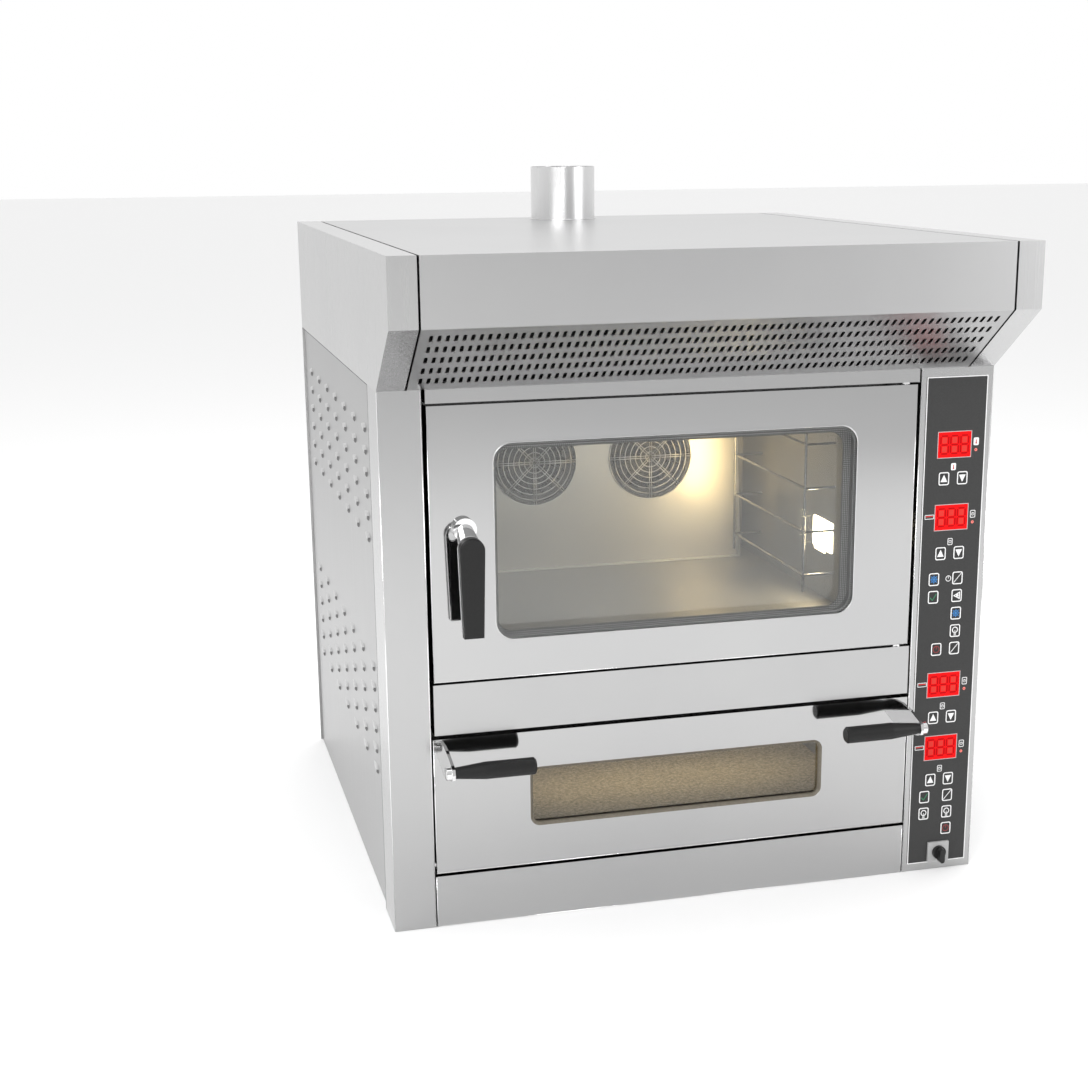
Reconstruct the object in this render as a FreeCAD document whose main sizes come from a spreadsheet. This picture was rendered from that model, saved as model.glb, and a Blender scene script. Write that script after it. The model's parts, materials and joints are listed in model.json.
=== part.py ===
import FreeCAD, Part
import math
import os

import Sketcher

# Combination bakery oven: a convection oven above a stone deck oven, with an
# extraction hood, a flue collar and a control column at the right.
# X runs to the right, Y to the rear and Z up.  The origin is the middle of the
# footprint, on the floor.  All sizes are in millimetres.

doc = FreeCAD.newDocument("combination_oven")

# ---------------------------------------------------------------- dimensions

DIMENSIONS = {
    # overall
    "wide": 1030.0,
    "deep": 1151.0,
    "high": 1202.0,
    "body_high": 887.5,
    "hood_out": 145.0,
    "hood_high": 211.0,
    "fascia_high": 105.0,
    "sheet": 2.0,
    # front columns and side panels
    "left_column_wide": 69.0,
    "control_wide": 130.0,
    "column_return": 90.0,
    "side_inset": 4.0,
    "cable_entry_radius": 14.25,
    # side vents: two groups of seven columns by six rows
    "vent_first_back": 161.0,
    "vent_pitch_back": 122.4,
    "vent_pitch_up": 36.2,
    "vent_low_group": 226.5,
    "vent_high_group": 627.5,
    "vent_radius": 4.0,
    # hood
    "cheek_wide": 44.0,
    "cheek_gap": 3.5,
    "grille_pitch": 12.5,
    "grille_slot_long": 17.5,
    "grille_slot_wide": 5.6,
    "grille_row_pitch": 31.5,
    "flue_radius": 64.5,
    "flue_wall": 1.5,
    "flue_right": 13.0,
    "flue_back": 911.5,
    # oven door
    "door_left": 76.0,
    "door_wide": 818.0,
    "door_low": 419.5,
    "door_high": 442.5,
    "door_thick": 45.0,
    "window_wide": 612.5,
    "window_high": 318.5,
    "window_corner": 32.0,
    "window_above": 62.5,
    "pane_border": 15.5,
    "pane_thick": 4.0,
    "hinge_from_edge": 17.0,
    "hinge_behind": 12.0,
    "pin_radius": 5.0,
    "pin_clearance": 0.06,
    "pin_long": 24.0,
    # oven door handle
    "handle_left": 130.5,
    "handle_up": 668.0,
    "hub_radius": 18.5,
    "hub_thick": 12.0,
    "shaft_radius": 8.0,
    "grip_front": 69.0,
    "grip_thick": 17.0,
    "grip_radius": 20.0,
    "grip_drop": 22.0,
    "grip_long": 139.0,
    "grip_foot_wide": 31.5,
    "spine_thick": 6.0,
    "latch_reach": 12.0,
    "latch_hole_radius": 18.0,
    # front frame
    "strip_low": 866.0,
    "shelf_high": 415.5,
    "mid_low": 331.0,
    "frame_left": 75.0,
    "frame_wide": 822.0,
    "jamb_back": 50.0,
    "deck_jamb_back": 45.0,
    "mouth_border": 8.0,
    "gasket_wide": 12.0,
    "gasket_thick": 4.5,
    "lower_panel_high": 88.5,
    # oven chamber
    "chamber_left": 155.0,
    "chamber_wide": 660.0,
    "chamber_low": 462.0,
    "chamber_high": 353.0,
    "chamber_deep": 562.0,
    "chamber_wall": 3.0,
    "baffle_back": 535.0,
    "baffle_edge_gap": 33.0,
    "baffle_taper": 15.0,
    "fan_spacing": 227.0,
    "fan_up": 668.0,
    "guard_radius": 82.0,
    "fan_radius": 68.0,
    "fan_wide": 42.0,
    "fan_shaft_radius": 6.0,
    "fan_blades": 20.0,
    "motor_radius": 46.0,
    "motor_long": 110.0,
    "ring_heater_radius": 88.0,
    "heater_radius": 4.0,
    "rack_left": 760.0,
    "rack_front": 150.0,
    "rack_rear": 505.0,
    "rack_wire_radius": 2.2,
    "rack_levels": 4.0,
    "rack_first_level": 514.0,
    "rack_level_pitch": 77.0,
    "lamp_back": 196.0,
    "lamp_up": 575.0,
    "lamp_wide": 88.0,
    "lamp_high": 54.0,
    # deck oven
    "deck_left": 72.0,
    "deck_wide": 826.0,
    "deck_low": 93.7,
    "deck_high": 230.6,
    "deck_thick": 40.0,
    "deck_hinge": 12.0,
    "deck_window_left": 235.0,
    "deck_window_low": 164.0,
    "deck_window_wide": 504.0,
    "deck_window_high": 94.5,
    "deck_window_corner": 13.0,
    "deck_window_bevel": 4.0,
    "deck_window_lip": 8.0,
    "deck_chamber_left": 130.0,
    "deck_chamber_wide": 710.0,
    "deck_chamber_low": 103.0,
    "deck_chamber_high": 197.0,
    "deck_chamber_deep": 700.0,
    "stone_thick": 20.0,
    # deck door handles
    "arm_left": 88.0,
    "arm_spacing": 800.0,
    "arm_thick": 5.0,
    "arm_top": 314.0,
    "arm_foot": 262.0,
    "bar_out": 67.0,
    "bar_up": 290.0,
    "arm_end_radius": 13.0,
    "bar_long": 132.0,
    "bar_neck_radius": 9.0,
    "bar_neck_long": 50.0,
    "bar_radius": 14.0,
    "cap_radius": 10.5,
    "cap_thick": 8.0,
    # control panel
    "overlay_wide": 110.0,
    "overlay_low": 13.5,
    "overlay_high": 859.5,
    "overlay_thick": 1.2,
    "overlay_border": 7.0,
    "display_wide": 62.0,
    "display_high": 45.2,
    "key_wide": 20.2,
    "key_high": 22.8,
    "key_corner": 3.5,
    "key_thick": 4.5,
    "key_proud": 0.3,
    "key_clearance": 0.3,
    "key_row_pitch": 31.0,
    "switch_up": 33.0,
    "switch_plate_wide": 39.5,
    "switch_plate_high": 37.0,
    "switch_plate_thick": 4.0,
    "knob_radius": 12.0,
}

sheet = doc.addObject("Spreadsheet::Sheet", "dims")
for row, (alias, number) in enumerate(DIMENSIONS.items(), start=1):
    sheet.set(f"A{row}", alias)
    sheet.set(f"B{row}", str(number))
    sheet.setAlias(f"B{row}", alias)
doc.recompute()


class Size:
    """A length that carries both its number and the sheet expression behind it."""

    def __init__(self, number, text):
        self.number = number
        self.text = text

    def __add__(self, other):
        other = as_size(other)
        return Size(self.number + other.number, f"({self.text} + {other.text})")

    __radd__ = __add__

    def __sub__(self, other):
        other = as_size(other)
        return Size(self.number - other.number, f"({self.text} - {other.text})")

    def __rsub__(self, other):
        return as_size(other) - self

    def __mul__(self, other):
        other = as_size(other)
        return Size(self.number * other.number, f"({self.text} * {other.text})")

    __rmul__ = __mul__

    def __truediv__(self, other):
        other = as_size(other)
        return Size(self.number / other.number, f"({self.text} / {other.text})")

    def __neg__(self):
        return Size(-self.number, f"(0 - {self.text})")


def as_size(value):
    if isinstance(value, Size):
        return value
    return Size(float(value), f"({float(value)})")


class Dimensions:
    """Every sheet cell as a Size, under its alias."""

    def __init__(self, aliases):
        for alias in aliases:
            setattr(self, alias, Size(sheet.get(alias), f"dims.{alias}"))


d = Dimensions(DIMENSIONS)

# --------------------------------------------------------- building helpers

AXIS_ROTATION = {
    "x": FreeCAD.Rotation(FreeCAD.Vector(0, 1, 0), 90),
    "y": FreeCAD.Rotation(FreeCAD.Vector(1, 0, 0), -90),
    "z": FreeCAD.Rotation(),
}
PLANE_ROLE = {"x": "YZ_Plane", "y": "XZ_Plane", "z": "XY_Plane"}
nodes = []


def bind(item, prop, value):
    item.setExpression(prop, as_size(value).text)


def place(item, low):
    for axis, value in zip("xyz", low):
        bind(item, f"Placement.Base.{axis}", value)


def node(item, name):
    """Name a finished sub-part; the label is its node name."""
    item.Label = name
    nodes.append(item)
    return item


def block(name, x, y, z):
    """Box from three (low, high) pairs."""
    item = doc.addObject("Part::Box", name)
    for prop, (low, high) in zip(("Length", "Width", "Height"), (x, y, z)):
        bind(item, prop, as_size(high) - low)
    place(item, (x[0], y[0], z[0]))
    return item


def rod(name, axis, start, radius, length):
    """Cylinder from a start point, along one axis."""
    item = doc.addObject("Part::Cylinder", name)
    item.Placement.Rotation = AXIS_ROTATION[axis]
    bind(item, "Radius", radius)
    bind(item, "Height", length)
    place(item, start)
    return item


def fuse(name, items):
    item = doc.addObject("Part::MultiFuse", name)
    item.Shapes = items
    return item


def cut(name, base, tools):
    item = doc.addObject("Part::Cut", name)
    item.Base = base
    item.Tool = tools[0] if len(tools) == 1 else fuse(name + "_tools", tools)
    return item


def group(name, items):
    """Separate solids kept in one node."""
    item = doc.addObject("Part::Compound", name)
    item.Links = items
    return item


def tray(name, x, y, z, wall, open_sides):
    """Folded sheet box: open on the named sides, such as "y-" for the front."""
    inner = []
    for axis, (low, high) in zip("xyz", (x, y, z)):
        inner_low = as_size(low) if axis + "-" in open_sides else as_size(low) + wall
        inner_high = as_size(high) if axis + "+" in open_sides else as_size(high) - wall
        inner.append((inner_low, inner_high))
    return cut(name, block(name + "_outer", x, y, z), [block(name + "_inner", *inner)])


def new_sketch(body, name, axis, start):
    """Sketch across one axis, at a place along it."""
    sketch = body.newObject("Sketcher::SketchObject", name)
    planes = [f for f in body.Origin.OriginFeatures if f.Role == PLANE_ROLE[axis]]
    sketch.AttachmentSupport = [(planes[0], "")]
    sketch.MapMode = "FlatFace"
    offset = -as_size(start) if axis == "y" else as_size(start)
    bind(sketch, "AttachmentOffset.Base.z", offset)
    return sketch


def pin_down(sketch, geometry, end, point):
    """Fix a point of a sketch at sizes from the sheet."""
    for kind, line, value in (("DistanceX", -2, point[0]), ("DistanceY", -1, point[1])):
        value = as_size(value)
        if abs(value.number) < 1e-9:
            sketch.addConstraint(Sketcher.Constraint("PointOnObject", geometry, end, line))
            continue
        index = sketch.addConstraint(
            Sketcher.Constraint(kind, -1, 1, geometry, end, value.number)
        )
        sketch.setExpression(f"Constraints[{index}]", value.text)


def draw_polygon(sketch, points):
    """Closed outline through points given as sheet sizes."""
    spots = [FreeCAD.Vector(as_size(a).number, as_size(b).number, 0) for a, b in points]
    count = len(points)
    for i in range(count):
        sketch.addGeometry(Part.LineSegment(spots[i], spots[(i + 1) % count]), False)
    for i in range(count):
        sketch.addConstraint(Sketcher.Constraint("Coincident", i, 2, (i + 1) % count, 1))
    for i, point in enumerate(points):
        pin_down(sketch, i, 1, point)


def draw_circle(sketch, centre, radius):
    spot = FreeCAD.Vector(as_size(centre[0]).number, as_size(centre[1]).number, 0)
    normal = FreeCAD.Vector(0, 0, 1)
    index = sketch.addGeometry(Part.Circle(spot, normal, as_size(radius).number), False)
    constraint = sketch.addConstraint(
        Sketcher.Constraint("Radius", index, as_size(radius).number)
    )
    sketch.setExpression(f"Constraints[{constraint}]", as_size(radius).text)
    pin_down(sketch, index, 3, centre)


def rectangle(x, z):
    return [(x[0], z[0]), (x[1], z[0]), (x[1], z[1]), (x[0], z[1])]


def new_body(name):
    return doc.addObject("PartDesign::Body", name)


def pad(body, sketch, axis, length):
    """Pad towards the positive end of the axis."""
    feature = body.newObject("PartDesign::Pad", body.Name + "_pad")
    feature.Profile = sketch
    feature.Reversed = axis == "y"
    bind(feature, "Length", length)
    sketch.Visibility = False
    doc.recompute()
    return feature


def edges_along(shape, axis):
    """Names of the straight edges that run along one axis."""
    want = {"x": FreeCAD.Vector(1, 0, 0), "y": FreeCAD.Vector(0, 1, 0),
            "z": FreeCAD.Vector(0, 0, 1)}[axis]
    found = []
    for number, edge in enumerate(shape.Edges, start=1):
        if isinstance(edge.Curve, Part.Line) and abs(abs(edge.Curve.Direction * want) - 1) < 1e-6:
            found.append(f"Edge{number}")
    return found


def round_edges(body, feature, names, radius):
    item = body.newObject("PartDesign::Fillet", body.Name + "_fillet")
    item.Base = (feature, names)
    bind(item, "Radius", radius)
    doc.recompute()
    return item


def slab(name, axis, points, start, length):
    """Body padded from a polygon across one axis."""
    body = new_body(name)
    sketch = new_sketch(body, name + "_outline", axis, start)
    draw_polygon(sketch, points)
    pad(body, sketch, axis, length)
    return body


def rounded_plate(name, x, y, z, radius):
    """Plate facing the front, with its four front corners rounded."""
    body = new_body(name)
    sketch = new_sketch(body, name + "_outline", "y", y[0])
    draw_polygon(sketch, rectangle(x, z))
    feature = pad(body, sketch, "y", as_size(y[1]) - y[0])
    round_edges(body, feature, edges_along(feature.Shape, "y"), radius)
    return body


def perforated_sheet(name, outline, holes, thickness):
    """Flat sheet with many holes: one face, pushed through its thickness."""
    item = doc.addObject("Part::Feature", name)
    face = Part.makeFace([outline] + holes, "Part::FaceMakerBullseye")
    item.Shape = face.extrude(thickness)
    return item


# -------------------------------------------------------------- main places

left = -d.wide / 2
right = d.wide / 2
front = -d.deep / 2 + d.hood_out
rear = d.deep / 2
fascia_face = -d.deep / 2
hood_top = d.body_high + d.hood_high
fascia_low = hood_top - d.fascia_high
inside_left = left + d.side_inset + d.sheet
inside_right = right - d.side_inset - d.sheet


def across(value):
    """X of a distance measured from the left side."""
    return left + value


def back(value):
    """Y of a distance measured behind the front face."""
    return front + value


# ------------------------------------------------------------------- casing


def make_base_pan():
    pan = tray("base_pan", (inside_left + 1, inside_right - 1),
               (back(d.column_return) + 1, rear - 3), (0, 40), d.sheet, ["z+"])
    return node(pan, "base_pan")


def side_vents():
    """Centres of the vent holes, as (Y, Z)."""
    centres = []
    for group_low in (d.vent_low_group, d.vent_high_group):
        for column in range(7):
            for line in range(6):
                y = back(d.vent_first_back + d.vent_pitch_back * column)
                z = group_low + d.vent_pitch_up * line
                centres.append((y.number, z.number))
    return centres


def make_side_panel(name, face_x, inward):
    y_low = back(d.column_return).number
    y_high = (rear - d.sheet).number
    top = d.body_high.number
    corners = [(y_low, 0), (y_high, 0), (y_high, top), (y_low, top)]
    outline = Part.makePolygon(
        [FreeCAD.Vector(face_x.number, y, z) for y, z in corners + corners[:1]]
    )
    holes = []
    for y, z in side_vents():
        circle = Part.makeCircle(d.vent_radius.number, FreeCAD.Vector(face_x.number, y, z),
                                 FreeCAD.Vector(1, 0, 0))
        holes.append(Part.Wire(circle))
    push = FreeCAD.Vector(inward * d.sheet.number, 0, 0)
    return node(perforated_sheet(name, outline, holes, push), name)


def make_rear_panel():
    sheet_part = block("rear_sheet", (left, right), (rear - d.sheet, rear), (0, d.body_high))
    entry = rod("cable_entry", "y", (across(900), rear - 10, 120), d.cable_entry_radius, 20)
    return node(cut("rear_panel", sheet_part, [entry]), "rear_panel")


def make_left_column():
    column = tray("left_front_column", (left, left + d.left_column_wide),
                  (front, back(d.column_return)), (0, d.body_high), d.sheet,
                  ["y+", "z-", "z+"])
    return node(column, "left_front_column")


def make_control_column():
    x = (right - d.control_wide, right)
    column = tray("control_channel", x, (front, back(d.column_return)), (0, d.body_high),
                  d.sheet, ["y+", "z-", "z+"])
    window_x = (panel_x - d.overlay_wide / 2 + d.overlay_border,
                panel_x + d.overlay_wide / 2 - d.overlay_border)
    window_z = (d.overlay_low + d.overlay_border,
                d.overlay_low + d.overlay_high - d.overlay_border)
    window = block("control_window", window_x, (front - 1, front + d.sheet + 1), window_z)
    return node(cut("control_column", column, [window]), "control_column")


def make_front_frame():
    """One folded frame: strip over the oven door, jambs, and the panel between the doors."""
    x = (across(d.frame_left), across(d.frame_left + d.frame_wide))
    jamb = back(d.jamb_back)
    deck_jamb = back(d.deck_jamb_back)
    s = d.sheet
    folds = [
        block("strip_face", x, (front, front + s), (d.strip_low, d.body_high)),
        block("strip_return", x, (front, jamb + s), (d.strip_low, d.strip_low + s)),
        block("oven_jamb", x, (jamb, jamb + s), (d.shelf_high - s, d.strip_low + s)),
        block("shelf_return", x, (front, jamb + s), (d.shelf_high - s, d.shelf_high)),
        block("middle_face", x, (front, front + s), (d.mid_low, d.shelf_high)),
        block("middle_return", x, (front, deck_jamb + s), (d.mid_low, d.mid_low + s)),
        block("deck_jamb", x, (deck_jamb, deck_jamb + s), (d.deck_low, d.mid_low + s)),
    ]
    mouth = rounded_plate("oven_mouth", mouth_x, (jamb - 1, jamb + s + 1), mouth_z, 25)
    deck_mouth = block("deck_mouth", deck_inner_x, (deck_jamb - 1, deck_jamb + s + 1),
                       (d.deck_chamber_low + 9, d.deck_chamber_low + d.deck_chamber_high))
    latch_hole = rod("latch_hole", "y", (handle_x, jamb - 1, d.handle_up),
                     d.latch_hole_radius, s + 2)
    frame = fuse("frame_folds", folds)
    return node(cut("front_frame", frame, [mouth, deck_mouth, latch_hole]), "front_frame")


def make_lower_panel():
    x = (across(71), across(898.5))
    panel = tray("lower_panel", x, (front, back(28)), (0, d.lower_panel_high), d.sheet,
                 ["y+", "z-", "z+"])
    return node(panel, "lower_panel")


# --------------------------------------------------------------------- hood


def hood_profile():
    return [(fascia_face, fascia_low), (fascia_face, hood_top), (rear, hood_top),
            (rear, d.body_high), (front, d.body_high)]


def hood_shell(name, start, length, is_open):
    """Folded hood section: padded from the side outline, then hollowed."""
    body = slab(name, "x", hood_profile(), start, length)
    solid = body.Tip
    open_faces = []
    for number, face in enumerate(solid.Shape.Faces, start=1):
        if is_open(face.normalAt(0, 0)):
            open_faces.append(f"Face{number}")
    hollow = body.newObject("PartDesign::Thickness", name + "_fold")
    hollow.Base = (solid, open_faces)
    hollow.Reversed = True
    hollow.Join = "Intersection"
    bind(hollow, "Value", d.sheet)
    doc.recompute()
    return body


def make_hood():
    left_cheek = hood_shell("left_cheek", left, d.cheek_wide, lambda n: n.x > 0.9)
    right_cheek = hood_shell("right_cheek", right - d.cheek_wide, d.cheek_wide,
                             lambda n: n.x < -0.9)
    node(group("hood_cheeks", [left_cheek, right_cheek]), "hood_cheeks")

    canopy_low = left + d.cheek_wide + d.cheek_gap
    canopy = hood_shell("canopy_shell", canopy_low, canopy_wide,
                        lambda n: abs(n.x) > 0.9 or n.z < -0.2 and n.y < -0.2)
    outlet = rod("flue_hole", "z", (flue_x, flue_y, hood_top - 5),
                 d.flue_radius - d.flue_wall, 10)
    node(cut("hood_canopy", canopy, [outlet]), "hood_canopy")

    tube = rod("flue_tube", "z", (flue_x, flue_y, hood_top), d.flue_radius,
               d.high - hood_top)
    bore = rod("flue_bore", "z", (flue_x, flue_y, hood_top - 1), d.flue_radius - d.flue_wall,
               d.high - hood_top + 2)
    node(cut("flue_collar", tube, [bore]), "flue_collar")


def slot_wire(centre, along, side):
    """Rounded slot about a centre, given its two half-direction vectors."""
    half = side.Length
    unit = FreeCAD.Vector(along).normalize()
    reach = along.Length - half
    a = centre - unit * reach
    b = centre + unit * reach
    edges = [
        Part.makeLine(a + side, b + side),
        Part.Arc(b + side, b + unit * half, b - side).toShape(),
        Part.makeLine(b - side, a - side),
        Part.Arc(a - side, a - unit * half, a + side).toShape(),
    ]
    return Part.Wire(edges)


def make_grille():
    """Sloping intake sheet with five rows of slots."""
    low_x = (left + d.cheek_wide + d.cheek_gap).number
    high_x = low_x + canopy_wide.number
    inset = d.sheet.number
    foot = FreeCAD.Vector(0, front.number, d.body_high.number)
    head = FreeCAD.Vector(0, fascia_face.number, fascia_low.number)
    up_slope = (head - foot).normalize()
    foot_margin = inset / up_slope.z + 0.4
    head_margin = inset / -up_slope.y + 0.4
    into_hood = FreeCAD.Vector(0, -up_slope.z, up_slope.y) * -1
    foot = foot + up_slope * foot_margin
    head = head - up_slope * head_margin
    corners = [foot + FreeCAD.Vector(low_x, 0, 0), foot + FreeCAD.Vector(high_x, 0, 0),
               head + FreeCAD.Vector(high_x, 0, 0), head + FreeCAD.Vector(low_x, 0, 0)]
    outline = Part.makePolygon(corners + corners[:1])
    middle = (foot + head) * 0.5
    count = int((high_x - low_x - 20) // d.grille_pitch.number)
    first = (low_x + high_x) / 2 - (count - 1) * d.grille_pitch.number / 2
    along = up_slope * (d.grille_slot_long.number / 2)
    side = FreeCAD.Vector(d.grille_slot_wide.number / 2, 0, 0)
    holes = []
    for line in range(-2, 3):
        for column in range(count):
            centre = middle + up_slope * (line * d.grille_row_pitch.number)
            centre.x = first + column * d.grille_pitch.number
            holes.append(slot_wire(centre, along, side))
    grille = perforated_sheet("hood_grille", outline, holes, into_hood * inset)
    return node(grille, "hood_grille")


# ------------------------------------------------------------- oven chamber


def make_chamber():
    wall = d.chamber_wall
    x = (across(d.chamber_left) - wall, across(d.chamber_left + d.chamber_wide) + wall)
    z = (d.chamber_low - wall, d.chamber_low + d.chamber_high + wall)
    y = (back(d.jamb_back) + d.sheet, chamber_rear)
    liner = tray("chamber_liner", x, y, z, wall, ["y-"])
    tools = [rod(f"shaft_hole_{i}", "y", (fan_x, chamber_rear - 10, d.fan_up), 10, 20)
             for i, fan_x in enumerate(fan_places)]
    tools.append(block("lamp_hole", (x[1] - wall - 1, x[1] + 1), lamp_y, lamp_z))
    return node(cut("oven_chamber", liner, tools), "oven_chamber")


def make_baffle():
    """Sheet that splits the fan space from the baking space."""
    low = across(d.chamber_left + d.baffle_edge_gap)
    high = across(d.chamber_left + d.chamber_wide - d.baffle_edge_gap)
    top = d.chamber_low + d.chamber_high
    outline = [(low, d.chamber_low), (high, d.chamber_low), (high - d.baffle_taper, top),
               (low + d.baffle_taper, top)]
    plate = slab("baffle_sheet", "y", outline, back(d.baffle_back), d.sheet)
    tools = [rod(f"fan_mouth_{i}", "y", (fan_x, back(d.baffle_back) - 1, d.fan_up),
                 d.guard_radius - 6, 5) for i, fan_x in enumerate(fan_places)]
    return node(cut("air_baffle", plate, tools), "air_baffle")


def make_fan_guards():
    guards = []
    y = back(d.baffle_back) - 3
    for i, fan_x in enumerate(fan_places):
        pieces = []
        for ring in range(5):
            radius = d.guard_radius * (5 - ring) / 5
            outer = rod(f"guard_{i}_outer_{ring}", "y", (fan_x, y, d.fan_up), radius, 3)
            inner = rod(f"guard_{i}_inner_{ring}", "y", (fan_x, y - 1, d.fan_up),
                        radius - 2.5, 5)
            pieces.append(cut(f"guard_{i}_ring_{ring}", outer, [inner]))
        for spoke in range(4):
            bar = block(f"guard_{i}_spoke_{spoke}", (-(d.guard_radius - 1), d.guard_radius - 1),
                        (0, 3), (-1.5, 1.5))
            angle = 22.5 + 45 * spoke
            turn = FreeCAD.Rotation(FreeCAD.Vector(0, 1, 0), angle)
            holder = group(f"guard_{i}_arm_{spoke}", [bar])
            holder.Placement.Rotation = turn
            place(holder, (fan_x, y, d.fan_up))
            pieces.append(holder)
        guards.append(fuse(f"guard_{i}", pieces))
    return node(group("fan_guards", guards), "fan_guards")


def make_fan_wheel(name, fan_x):
    """Radial wheel with its hub and shaft."""
    y = back(d.baffle_back) + 18
    pieces = [
        rod(name + "_plate", "y", (fan_x, y + d.fan_wide - 2, d.fan_up), d.fan_radius, 2),
        rod(name + "_hub", "y", (fan_x, y + 8, d.fan_up), 14, d.fan_wide - 8),
        rod(name + "_shaft", "y", (fan_x, y + d.fan_wide - 1, d.fan_up), d.fan_shaft_radius,
            chamber_rear - y - d.fan_wide + 30),
    ]
    for blade in range(int(d.fan_blades.number)):
        vane = block(f"{name}_vane_{blade}", (d.fan_radius - 22, d.fan_radius - 1),
                     (0, d.fan_wide - 1), (-0.8, 0.8))
        holder = group(f"{name}_vane_at_{blade}", [vane])
        angle = 360.0 * blade / d.fan_blades.number
        holder.Placement.Rotation = FreeCAD.Rotation(FreeCAD.Vector(0, 1, 0), angle)
        place(holder, (fan_x, y, d.fan_up))
        pieces.append(holder)
    return node(fuse(name, pieces), name)


def make_motors():
    motors = []
    for i, fan_x in enumerate(fan_places):
        can = rod(f"motor_can_{i}", "y", (fan_x, chamber_rear, d.fan_up), d.motor_radius,
                  d.motor_long)
        bore = rod(f"motor_bore_{i}", "y", (fan_x, chamber_rear - 1, d.fan_up),
                   d.fan_shaft_radius + d.pin_clearance, 42)
        motors.append(cut(f"motor_{i}", can, [bore]))
    return node(group("fan_motors", motors), "fan_motors")


def ring(name, fan_x, y):
    item = doc.addObject("Part::Torus", name)
    item.Placement.Rotation = AXIS_ROTATION["y"]
    bind(item, "Radius1", d.ring_heater_radius)
    bind(item, "Radius2", d.heater_radius)
    place(item, (fan_x, y, d.fan_up))
    return item


def make_heaters():
    """Ring elements round the fans, and straight elements above and under the stone."""
    items = []
    for i, fan_x in enumerate(fan_places):
        for turn in range(2):
            items.append(ring(f"ring_heater_{i}_{turn}", fan_x,
                              back(d.baffle_back) + 26 + 14 * turn))
    x_low = across(d.deck_chamber_left) + 20
    length = d.deck_chamber_wide - 40
    for i in range(6):
        y = back(110 + 110 * i)
        under = stone_low - d.heater_radius - 2
        above = d.deck_chamber_low + d.deck_chamber_high - d.heater_radius - 8
        items.append(rod(f"under_heater_{i}", "x", (x_low, y, under), d.heater_radius, length))
        items.append(rod(f"over_heater_{i}", "x", (x_low, y, above), d.heater_radius, length))
    return node(group("heating_elements", items), "heating_elements")


def make_racks():
    """Wire tray runners on both sides of the baking space."""
    racks = []
    runner_long = d.rack_rear - d.rack_front
    right_x = across(d.rack_left)
    left_x = across(d.chamber_left * 2 + d.chamber_wide - d.rack_left)
    for side, (x, wall_step) in enumerate(((left_x, -1), (right_x, 1))):
        pieces = []
        for place_back in (d.rack_front, d.rack_rear):
            pieces.append(rod(f"rack_{side}_post_{len(pieces)}", "z",
                              (x, back(place_back), d.chamber_low + 22), d.rack_wire_radius,
                              d.chamber_high - 72))
        for level in range(int(d.rack_levels.number)):
            z = d.rack_first_level + d.rack_level_pitch * level
            pieces.append(rod(f"rack_{side}_runner_{level}", "y",
                              (x + 1.5 * wall_step, back(d.rack_front) - 4, z),
                              d.rack_wire_radius, runner_long + 8))
            for i, hook_back in enumerate((d.rack_front, d.rack_rear)):
                wall_gap = d.chamber_left + d.chamber_wide - d.rack_left
                start = x if wall_step > 0 else x - wall_gap
                pieces.append(rod(f"rack_{side}_hook_{level}_{i}", "x",
                                  (start, back(hook_back), z), d.rack_wire_radius, wall_gap))
        racks.append(fuse(f"rack_{side}", pieces))
    return node(group("tray_racks", racks), "tray_racks")


def make_lamp():
    x_low = across(d.chamber_left + d.chamber_wide) - 1.5
    lamp = rounded_plate_x("oven_lamp", (x_low, x_low + 26), lamp_y, lamp_z, 6)
    return node(lamp, "oven_lamp")


def rounded_plate_x(name, x, y, z, radius):
    body = new_body(name)
    sketch = new_sketch(body, name + "_outline", "x", x[0])
    draw_polygon(sketch, rectangle(y, z))
    feature = pad(body, sketch, "x", as_size(x[1]) - x[0])
    round_edges(body, feature, edges_along(feature.Shape, "x"), radius)
    return body


def make_gasket():
    wide = d.gasket_wide
    y = (back(d.jamb_back) - d.gasket_thick, back(d.jamb_back))
    gap = 4
    outer = rounded_plate("gasket_outer", (mouth_x[0] - gap - wide, mouth_x[1] + gap + wide), y,
                          (mouth_z[0] - gap - wide, mouth_z[1] + gap + wide), 40)
    inner = rounded_plate("gasket_inner", (mouth_x[0] - gap, mouth_x[1] + gap),
                          (y[0] - 1, y[1] + 1), (mouth_z[0] - gap, mouth_z[1] + gap), 28)
    return node(cut("door_gasket", outer, [inner]), "door_gasket")


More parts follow.
